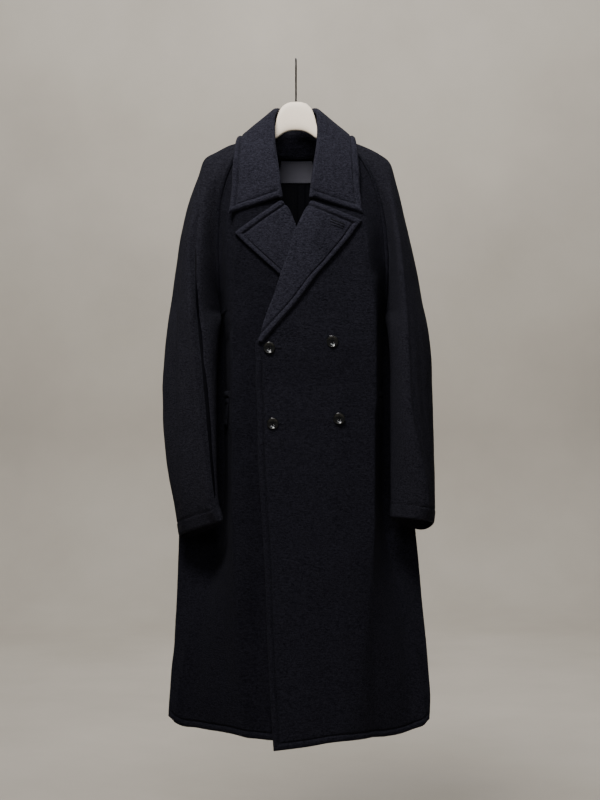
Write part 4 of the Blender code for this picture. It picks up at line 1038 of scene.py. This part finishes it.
class Sewing:
    """Collects stitches along lines on the cloth, and makes them one piece."""

    def __init__(self, name, pitch=4.4, length=3.0, radius=0.42):
        self.name, self.pitch, self.length, self.radius = name, pitch, length, radius
        self.points, self.faces = [], []

    def sew(self, line, out, sink=0.35):
        steps = np.linalg.norm(np.diff(line, axis=0), axis=1)
        reach = np.concatenate([[0], np.cumsum(steps)])
        for start in np.arange(self.pitch, reach[-1] - self.pitch, self.pitch):
            at = [start, start + self.length * 0.25, start + self.length * 0.75, start + self.length]
            spots = np.array([[np.interp(s, reach, line[:, k]) for k in range(3)] for s in at])
            up = unit(np.array([np.interp(start, reach, out[:, k]) for k in range(3)]))
            along = unit(spots[-1] - spots[0])
            aside = unit(np.cross(along, up))
            self.stitch(spots, up, aside, sink)

    def stitch(self, spots, up, aside, sink):
        base = len(self.points)
        sizes, lifts = (0.35, 1.0, 1.0, 0.35), (-0.5, 0.15, 0.15, -0.5)
        for spot, size, lift in zip(spots, sizes, lifts):
            middle = spot + up * (lift - sink)
            for angle in np.radians((0, 60, 120, 180, 240, 300)):
                spoke = aside * math.cos(angle) + up * math.sin(angle)
                self.points.append(middle + spoke * self.radius * size)
        rings = base + np.arange(24).reshape(4, 6)
        self.faces += ring_faces(rings) + [rings[0][::-1].tolist(), rings[-1].tolist()]

    def make(self):
        return add_piece(self.name, self.points, self.faces, [THREAD])


def quad_means(values):
    """A grid's values at the middles of its quads."""
    return (values[:-1, :-1] + values[1:, 1:]) / 2


def make_body(grids, normals, sewing):
    for name in ("left_front", "right_front", "back"):
        sides = ("first", "last") if name == "back" else ("last",)
        free = ("bottom",) if name == "back" else ("first", "bottom")
        grid, out = shrink(grids[name], sides), normals[name]
        seam, hem = edge_distances(grid, sides), edge_distances(grid, ("bottom",))
        hem_cord = cord_height(hem) * ease(seam / HEM_CORNER)
        lap = ease((SEAM_ROWS - 2 - np.arange(len(grid))) / LAP_ROWS)[:, None]
        relief = cloth_relief(grid) + profile(RAGLAN_LAP, seam) * lap
        lined = quad_means(hem) > HEM_TURN
        if name == "back":
            relief = relief + hem_cord
        else:
            edge = edge_distances(grid, ("first",))
            below = ease((CORD_STARTS - grid[:, :1, 2]) / (CORD_STARTS - CORD_FULL))
            relief = relief + np.where(edge < hem, cord_height(edge) * below, hem_cord)
            relief = relief + marks_at(grid) * (edge > CORD_REACH)
            lined &= quad_means(edge) > FACING
        outer = grid + out * relief[..., None]
        # The left front gets the darker copy of the wool, a painted shade.
        finishes = [WOOL_UNDER_PAINTED_SHADE if name == "left_front" else WOOL, LINING_CLOTH]
        shell(name + "_cloth", outer, grid - out * CLOTH, finishes, (name,), free, lined=lined)
        sewing.sew(*line_at(outer, out, hem, STITCH_AT, False))
        if name == "right_front":
            low = grid[:, 0, 2] < CORD_FULL
            sewing.sew(*line_at(outer[low], out[low], edge[low], STITCH_AT, True))
        above = slice(2, SEAM_ROWS - 3)
        for part in sides:
            seam = edge_distances(grid, (part,))
            sewing.sew(*line_at(outer[above], out[above], seam[above], SEAM_STITCH_AT, True))


def creases(grid, side):
    """Folds down the length of a sleeve, each steeper on one of its sides."""
    total = np.zeros(grid.shape[:-1])
    around, row = np.broadcast_arrays(SLEEVE_AROUND[None, :], SLEEVE_ROWS[:, None])
    steps = np.linalg.norm(np.diff(grid, axis=1), axis=-1)
    reach = np.concatenate([np.zeros((len(grid), 1)), np.cumsum(steps, axis=1)], axis=1)
    fade = ease((row - CREASE_FROM) / CREASE_FADE_IN) * ease((CREASE_TO - row) / CREASE_FADE_OUT)
    for route, (reach_out, reach_in, height) in zip(CREASES[side], FOLD_SHAPES[side]):
        places = np.interp(SLEEVE_ROWS, *zip(*route))
        middles = [np.interp(place, SLEEVE_AROUND, line) for place, line in zip(places, reach)]
        away = reach - np.array(middles)[:, None]
        total += height * np.exp(-((abs(away) / np.where(away > 0, reach_out, reach_in)) ** 1.5)) * fade
    near = np.maximum(ease(1 - around / ARMPIT_REACH), ease((around - 4 + ARMPIT_REACH) / ARMPIT_REACH))
    return total + ARMPIT_FILL * np.exp(-(((row - ARMPIT_ROW) / ARMPIT_ROWS) ** 2)) * near


def make_sleeves(grids, normals, sewing):
    for side, name in ((LEFT, "left_sleeve"), (RIGHT, "right_sleeve")):
        grid, out = grids[name].copy(), normals[name]
        above = shrink(grid[: SEAM_ROWS + 1], ("first", "last"), by=2 * SEAM)
        grid[:SEAM_ROWS] = above[:SEAM_ROWS]
        cuff = edge_distances(grid, ("bottom",))
        relief = cloth_relief(grid) + profile(CUFF, cuff) + creases(grid, side)
        relief[SEAM_ROWS:, -1] = relief[SEAM_ROWS:, 0]
        outer = grid + out * relief[..., None]
        shell(
            name + "_cloth", outer, grid - out * CLOTH, [WOOL_SLEEVE_PAINTED_LIGHT, LINING_CLOTH], (name,),
            ("bottom",), joined_from=SEAM_ROWS, lined=quad_means(cuff) > HEM_TURN,
        )
        sewing.sew(*line_at(outer, out, cuff, CUFF_STITCH_AT, False))


def lapel_row(side, along):
    """One row of a lapel's points, close together at its corded edge."""
    ends = lapel_point(side, np.array([0.0, 1.0]), np.full(2, along))
    width = np.linalg.norm(ends[1] - ends[0])
    reach = min(CORD_REACH, 0.6 * width) / width
    corded = 1 - np.linspace(reach, 0, CORD_STEPS + 3)
    across = np.concatenate([np.linspace(0, 1 - reach, 34)[:-1], corded])
    return lapel_point(side, across, np.full(len(across), along))


def make_lapels(sewing):
    for side, name in ((LEFT, "left_lapel"), (RIGHT, "right_lapel")):
        grid = np.array([lapel_row(side, along) for along in spread((0, 0.88, 70), (0.88, 1.0, 26))])
        out = facing(grid, (0, -1, 0))
        edge = edge_distances(grid, ("last", "bottom"))
        outer = grid + out * (cord_height(edge) + cloth_relief(grid, 0.25))[..., None]
        under = grid - out * LAPEL
        front = front_face(side, under[..., 0], under[..., 2])
        under[..., 1] = np.minimum(under[..., 1], front - LAPEL_CLEAR)
        shell(name + "_cloth", outer, under, [WOOL_COLLAR_PAINTED_LIGHT], (name,), ("last", "bottom", "first"))
        last, notch = edge_distances(grid, ("last",)), edge_distances(grid, ("bottom",))
        sewing.sew(*line_at(outer, out, last, STITCH_AT, True, keep=notch))
        sewing.sew(*line_at(outer, out, notch, STITCH_AT, False, keep=last))


def make_collar(sewing):
    half = spread((0, 0.93, 84), (0.93, 1.0, 22))
    along = np.concatenate([-half[:0:-1], half])
    across = spread((0, 1, 10), (1, 3, 18), (3, 3.8, 24), (3.8, 4, 16))
    alongs, acrosses = np.meshgrid(along, across, indexing="ij")
    grid = collar_point(acrosses, alongs)
    out = facing(grid, (0, 0, 1))
    cord = cord_height(edge_distances(grid, ("last", "top", "bottom"))) * ease((acrosses - 2.4) / 0.6)
    outer = grid + out * (cord + cloth_relief(grid, 0.3))[..., None]
    shell("collar_cloth", outer, grid - out * COLLAR, [WOOL_COLLAR_PAINTED_LIGHT], ("collar",), ALL_EDGES)
    last = edge_distances(grid, ("last",))
    fall = (slice(None), slice(28, None))
    for end in ("top", "bottom"):
        notch = edge_distances(grid, (end,))
        sewing.sew(*line_at(outer[fall], out[fall], notch[fall], STITCH_AT, False, keep=last[fall]))
    ends = edge_distances(grid, ("top", "bottom"))
    sewing.sew(*line_at(outer, out, last, STITCH_AT, True, keep=ends))


def make_pockets():
    """The welt and flap on each front, from the same places along the fronts as the solids."""
    for side, tag in ((LEFT, "left"), (RIGHT, "right")):
        for piece, (low, high), steps, raised in POCKET_PIECES:
            rows = np.linspace(low, high, steps)[:, None] + np.zeros(36)
            columns = np.zeros_like(rows) + np.linspace(*POCKET_COLUMNS, 36)
            if piece == "flap":
                slant = FLAP_SLANT * (rows - low) / (high - low)
                columns = columns + slant * np.clip(SLANT_UNTIL - columns, 0.0, 1.0)
            face = front_point(side, 1.0 + (columns - TURN_COLUMN) / TURN_COLUMNS, rows)
            out = facing(face, (side * 0.4, -1, 0))
            uneven = cloth_relief(face)
            cord = 0.35 * cord_height(edge_distances(face, ALL_EDGES))
            outer = face + out * (SNUG + POCKET_THICK + raised + (cord + uneven))[..., None]
            inner = face + out * (SNUG + uneven)[..., None]
            name = f"{tag}_pocket_{piece}"
            shell(name + "_cloth", outer, inner, [WOOL], (name,), ALL_EDGES)


PLEAT_SIDES, PLEAT_HIGH, PLEAT_WIDTH = (0.0, 16.0), 1.1, 2.6
PLEAT_FROM, PLEAT_FADE = -196.0, 40.0


def make_lining():
    """The back's lining in the neck, with the pleat in its middle."""
    reach = back_across(0.4)
    rows, across = np.meshgrid(spread((1, 8, 60)), np.linspace(-reach, reach, 90), indexing="ij")
    grid = back_point(across, rows)
    inward = -facing(grid, (0, 1, 0))
    below = ease((PLEAT_FROM - grid[..., 2]) / PLEAT_FADE)
    ridges = (np.exp(-(((grid[..., 0] - x) / PLEAT_WIDTH) ** 2)) for x in PLEAT_SIDES)
    seat = CLOTH + LINING_LOOSE
    face = grid + inward * (seat + LINING + PLEAT_HIGH * sum(ridges) * below)[..., None]
    back = grid + inward * seat
    shell("back_lining_cloth", face, back, [LINING_CLOTH], ("back_lining",), ALL_EDGES)


def make_label(sewing):
    """The blank band sewn on the lining."""
    columns = np.linspace(*LABEL_COLUMNS, 60)
    across = np.interp(columns, np.arange(21), back_across(np.linspace(-1, 1, 21)))
    rows, across = np.meshgrid(np.linspace(*LABEL_ROWS, 24), across, indexing="ij")
    grid = back_point(across, rows)
    inward = -facing(grid, (0, 1, 0))
    seat = CLOTH + LINING_LOOSE + LINING + PLEAT_HIGH + SNUG
    face = grid + inward * (seat + LABEL)
    shell("neck_label_band", face, grid + inward * seat, [LABEL_CLOTH], ("neck_label",), ALL_EDGES)
    for edge in ALL_EDGES:
        by_rows = edge in ("first", "last")
        sewing.sew(*line_at(face, inward, edge_distances(face, (edge,)), LABEL_STITCH_AT, by_rows))


def lathe(outline, steps):
    """Points and faces of (radius, height) pairs turned about Y, the first and last of them on the axis."""
    inner = outline[1:-1]
    angles = np.linspace(0, math.tau, steps, endpoint=False)
    points = [(radius * math.cos(a), -high, radius * math.sin(a)) for radius, high in inner for a in angles]
    rings = np.arange(len(points)).reshape(-1, steps)
    faces = [[face[0], *face[:0:-1]] for face in ring_faces(rings)]
    low, high = len(points), len(points) + 1
    points += [(0, -outline[0][1], 0), (0, -outline[-1][1], 0)]
    for k in range(steps):
        after = (k + 1) % steps
        faces.append((low, rings[0][k], rings[0][after]))
        faces.append((high, rings[-1][after], rings[-1][k]))
    return np.array(points), faces


def button_seat(x, z):
    """The depth at which a button's flat back just clears the cloth under it."""
    angles = np.linspace(0, math.tau, 32, endpoint=False)
    ring_x = x + BUTTON_RADIUS * np.cos(angles)
    ring_z = z + BUTTON_RADIUS * np.sin(angles)
    return float(min(np.min(front_face(RIGHT, ring_x, ring_z)), front_face(RIGHT, x, z)) - BUTTON_CLEAR)


TIPPED = Vector((0, 0, 1)).rotation_difference(Vector((0, 1, 0))).to_matrix()

# A button's profile: how far in from its rim, with the height above its back or the depth below its face.
BUTTON_BACK = ((2.6, 0), (1.1, 0.3), (0.3, 0.9), (0, 1.7))
BUTTON_FACE = ((0.15, 0.9), (0.6, 0.3), (1.2, 0), (1.9, 0.1), (2.6, 0.5), (3.2, 1.1), (4.2, 1.5), (6, 1.75))
WELL_DEPTH, WELL_RADII = 1.85, (3, 1, 0)


def button_outline():
    back = [(0, 0)] + [(BUTTON_RADIUS - inward, high) for inward, high in BUTTON_BACK]
    face = [(BUTTON_RADIUS - inward, BUTTON_THICK - low) for inward, low in BUTTON_FACE]
    return back + face + [(radius, BUTTON_THICK - WELL_DEPTH) for radius in WELL_RADII]


def drill_holes(button, x, seat, z):
    """Cuts a button's four holes right through it."""
    cutter = bmesh.new()
    size = {"radius1": BUTTON_HOLE * MM, "radius2": BUTTON_HOLE * MM, "depth": 12 * MM}
    for angle in np.radians((45, 135, 225, 315)):
        made = bmesh.ops.create_cone(cutter, cap_ends=True, segments=20, **size)
        bmesh.ops.rotate(cutter, verts=made["verts"], cent=(0, 0, 0), matrix=TIPPED)
        across, up = BUTTON_HOLE_OFFSET * math.cos(angle), BUTTON_HOLE_OFFSET * math.sin(angle)
        bmesh.ops.translate(cutter, verts=made["verts"], vec=Vector((x + across, seat, z + up)) * MM)
    holes_mesh = bpy.data.meshes.new("holes")
    cutter.to_mesh(holes_mesh)
    cutter.free()
    holes = in_scene("holes", holes_mesh)
    cut = button.modifiers.new("holes", "BOOLEAN")
    cut.object = holes
    cut.operation = "DIFFERENCE"
    graph = bpy.context.evaluated_depsgraph_get()
    done = bpy.data.meshes.new_from_object(button.evaluated_get(graph))
    button.modifiers.clear()
    button.data = done
    bpy.data.objects.remove(holes)


def thread_button(threads, x, seat, z):
    """Two rows of two threads, each row from one hole to the next."""
    reach, floor = BUTTON_HOLE_OFFSET * 0.71, BUTTON_THICK - 1.6
    dips = ((-reach, 1.2), (-0.8 * reach, -0.25), (0.8 * reach, -0.25), (reach, 1.2))
    for row in (-reach, reach):
        for offset in (-0.45, 0.45):
            spots = np.array([(x + aside, seat - floor + dip, z + row + offset) for aside, dip in dips])
            threads.stitch(spots, np.array((0.0, -1, 0)), np.array((0.0, 0, 1)), 0.0)


def make_buttons():
    threads = Sewing("button_threads", radius=0.55)
    for name, (x, z) in BUTTON_PLACES.items():
        points, faces = lathe(button_outline(), 64)
        seat = button_seat(x, z)
        points = points + np.array((x, seat, z))
        button = add_piece(name + "_polished", points, faces, [POLISHED], (name,))
        drill_holes(button, x, seat, z)
        thread_button(threads, x, seat, z)
    threads.make()


# The bars of the bound buttonhole on the lapel, between two points. Finish 0 is wool and 1 is thread. The
# thread bar on top is a painted shadow line above the hole, and the thread bar between the lips is the
# slit's shade, painted as a dark bar.
BARS = table("above half_width height finish", (
    (4.6, 1.5, 1.1, 1), (2.0, 2.1, 1.9, 0), (-0.5, 1.3, 1.1, 1), (-3.0, 2.1, 1.9, 0),
))
LAPEL_HOLE = ((65.5, -334.5), (94.0, -345.5))
# The slits beside the left buttons, and the bars that each is made of.
SLITS, SLIT_LONG, SLIT_HALF = ((-40.0, -578.5), (-34.5, -724.5)), 26.0, 0.8
SLIT_BARS = table("above height finish", ((1.3, 1.5, 0), (0.0, 0.7, 1), (-1.3, 1.5, 0)))
BAR_FACETS = 8


def rounded_bar(seat, middle, along, long, half_width, height):
    """Points and faces of a bar with rounded ends. seat gives the depth of the cloth at a place."""
    side = np.array((-along[1], along[0]))
    points = []
    for t in np.linspace(-1, 1, 25):
        small = math.sqrt(max(1 - abs(t) ** 6, LEAST_END))
        for angle in np.linspace(0, math.tau, BAR_FACETS, endpoint=False):
            x, z = middle + along * t * long / 2 + side * half_width * small * math.cos(angle)
            points.append((x, seat(x, z) - height * small * math.sin(angle), z))
    rings = np.arange(len(points)).reshape(-1, BAR_FACETS)
    return points, ring_faces(rings) + [rings[0][::-1].tolist(), rings[-1].tolist()]


def overlap_depth(x, z):
    return float(front_face(RIGHT, x, z))


def make_buttonholes():
    """The lapel's bound buttonhole, of two rolled lips, and the two slits worked in the overlap."""
    start, stop = np.array(LAPEL_HOLE)
    along, long = unit(stop - start), np.linalg.norm(stop - start)
    side, seat = np.array((-along[1], along[0])), lapel_depths()
    bars = [
        (seat, (start + stop) / 2 + side * above, along, long, half_width, height, finish)
        for above, half_width, height, finish in zip(*BARS.values())
    ]
    level = np.array((1.0, 0.0))
    bars += [
        (overlap_depth, np.array((x, z + above)), level, SLIT_LONG, SLIT_HALF, height, finish)
        for x, z in SLITS
        for above, height, finish in zip(*SLIT_BARS.values())
    ]
    points, faces, kinds = [], [], []
    for *bar, finish in bars:
        bar_points, bar_faces = rounded_bar(*bar)
        faces += [[k + len(points) for k in face] for face in bar_faces]
        points += bar_points
        kinds += [int(finish)] * len(bar_faces)
    add_piece("buttonholes", points, faces, [WOOL_COLLAR_PAINTED_LIGHT, THREAD], kinds=kinds)


def lapel_depths():
    """A function for the depth of the overlap's lapel at a place, from many points near its tip."""
    along, across = np.meshgrid(np.linspace(0.7, 1, 90), np.linspace(0.4, 1, 90), indexing="ij")
    spots = lapel_point(RIGHT, across, along).reshape(-1, 3)

    def depth(x, z):
        weight = np.exp(-(((spots[:, 0] - x) ** 2 + (spots[:, 2] - z) ** 2) / 6.0))
        return float(np.sum(spots[:, 1] * weight) / np.sum(weight))

    return depth


def make_hanger():
    """The hanger's body: rounded sections along X, from one end to the other over the domed head."""
    angles = np.linspace(0, math.tau, 48, endpoint=False)
    across, up = np.cos(angles), np.sin(angles)
    sections = []
    for x in np.concatenate([-np.linspace(ARM_END, 0, 120)[:-1], np.linspace(0, ARM_END, 120)]):
        low, half, top = (follow(HANGER["x"], HANGER[key], abs(x)) for key in ("low", "half_depth", "top"))
        boxy = HEAD_BOXY + (1.0 - HEAD_BOXY) * ease((abs(x) - BOXY_FROM) / BOXY_FADE)
        end = math.sqrt(max(1.0 - max(abs(x) - END_ROUND_FROM, 0.0) ** 2 / END_ROUND, LEAST_END))
        depth = ARMS_FORWARD * ease(abs(x) / ARMS_FROM) + half * end * np.sign(across) * abs(across) ** boxy
        height = (low + top) / 2 + (top - low) / 2 * end * np.sign(up) * abs(up) ** boxy
        sections.append(point(x, depth, height))
    points = np.array(sections)
    rings = np.arange(points[..., 0].size).reshape(points.shape[:2])
    faces = ring_faces(rings) + [rings[0][::-1].tolist(), rings[-1].tolist()]
    add_piece("hanger_body_painted", points.reshape(-1, 3), faces, [CREAM], ("hanger_body",))


def tube(name, route, radius, steps, finish, slot, replaced):
    """A closed round tube along a route of points in a plane of constant X."""
    route = np.asarray(route, float)
    along = unit(np.gradient(route, axis=0))
    side = np.zeros_like(route)
    side[:, 0] = 1.0
    up = np.cross(side, along)
    angles = np.linspace(0, math.tau, steps, endpoint=False)[None, :, None]
    rings = route[:, None] + radius * (np.cos(angles) * side[:, None] + np.sin(angles) * up[:, None])
    caps = (route[:1] - along[:1] * radius * 0.6, route[-1:] + along[-1:] * radius * 0.6)
    number = np.arange(len(route) * steps).reshape(-1, steps)
    faces = ring_faces(number)
    for c in range(steps):
        n = (c + 1) % steps
        faces.append((number.size, number[0, n], number[0, c]))
        faces.append((number.size + 1, number[-1, c], number[-1, n]))
    add_piece(name, np.concatenate([rings.reshape(-1, 3), *caps]), faces, [finish], replaced)


def make_hook():
    """A bent wire: up from the head, forward round the rail's front, over its top and down behind."""
    centre = np.array((0, 0, -HOOK_RADIUS + WIRE))
    angles = np.linspace(math.radians(HOOK_FROM), math.radians(HOOK_TO), 90)
    arc = [centre + np.array((0, -math.cos(angle), math.sin(angle))) * HOOK_RADIUS for angle in angles]
    joint, foot = arc[0], STEM_FOOT + STEM_CLEAR + FOOT_ROUND
    stem = [(0, 0, z) for z in np.linspace(foot, STEM_TOP, 8)[:-1]]
    shares = np.linspace(0, 1, 24)[:-1]
    rise = [(0, joint[1] * float(ease(t)), STEM_TOP + (joint[2] - STEM_TOP) * t) for t in shares]
    tube("hanger_hook_wire", stem + rise + arc[:-1], WIRE, 20, BLACK_WIRE, "wire", ("hanger_hook",))


def add_light(name, place, toward, size, power, colour):
    data = bpy.data.lights.new(name, "AREA")
    data.shape = "RECTANGLE"
    data.size, data.size_y = size
    data.energy = power
    data.color = colour
    light = in_scene(name, data)
    light.location = place
    light.rotation_euler = (Vector(toward) - Vector(place)).to_track_quat("-Z", "Y").to_euler()


def make_stage():
    """A pale floor that curves up into a wall far behind."""
    floor, wall, bend, reach = -1750.0, 4600.0, 900.0, 6000.0
    section = [(-7000.0, floor), (wall - bend, floor)]
    section += [
        (wall - bend + bend * math.sin(angle), floor + bend - bend * math.cos(angle))
        for angle in np.radians(np.linspace(6, 90, 15))
    ]
    section.append((wall, 5000.0))
    points = [(side * reach, y, z) for side in (-1, 1) for y, z in section]
    count = len(section)
    faces = [(k, k + count, k + count + 1, k + 1) for k in range(count - 1)]
    mesh = new_mesh("backdrop", points, faces, [PLAIN_WALL])
    mesh.shade_smooth()
    in_scene("backdrop", mesh)


def make_lights():
    """A key light from the upper left, weak light from the front and behind, and one for the wall."""
    world = bpy.data.worlds.new("studio")
    world.use_nodes = True
    background = world.node_tree.nodes["Background"]
    background.inputs["Color"].default_value = (0.8, 0.82, 0.9, 1.0)
    background.inputs["Strength"].default_value = 0.1
    bpy.context.scene.world = world
    add_light("key", (-0.4, -1.4, 1.3), (0, 0, -0.5), (0.8, 0.7), 80.0, (1.0, 0.98, 0.96))
    add_light("front", (0.1, -3.4, 0.7), (0, 0, -0.8), (1.4, 1.0), 27.0, (0.96, 0.97, 1.0))
    add_light("back_fill", (0.9, 2.3, 1.9), (0, 0, -0.6), (1.0, 1.0), 34.0, (0.96, 0.97, 1.0))
    add_light("wall_wash", (0, 1.9, 2.4), (0, 4.6, -0.2), (4.5, 1.2), 175.0, (1.0, 1.0, 1.0))


def make_camera():
    data = bpy.data.cameras.new("camera")
    data.sensor_fit = "VERTICAL"
    data.sensor_height = 36.0
    data.lens = 63.0
    camera = in_scene("camera", data)
    camera.location = (0.008, -2.8, -0.68)
    camera.rotation_euler = (math.radians(90), 0, 0)
    bpy.context.scene.camera = camera


def main():
    grids, normals = fine_grids()
    share_normals(normals)
    sewing = Sewing("stitching")
    make_body(grids, normals, sewing)
    make_sleeves(grids, normals, sewing)
    make_lapels(sewing)
    make_collar(sewing)
    make_pockets()
    make_lining()
    make_label(sewing)
    sewing.make()
    make_buttons()
    make_buttonholes()
    make_hanger()
    make_hook()
    make_stage()
    make_lights()
    make_camera()


main()
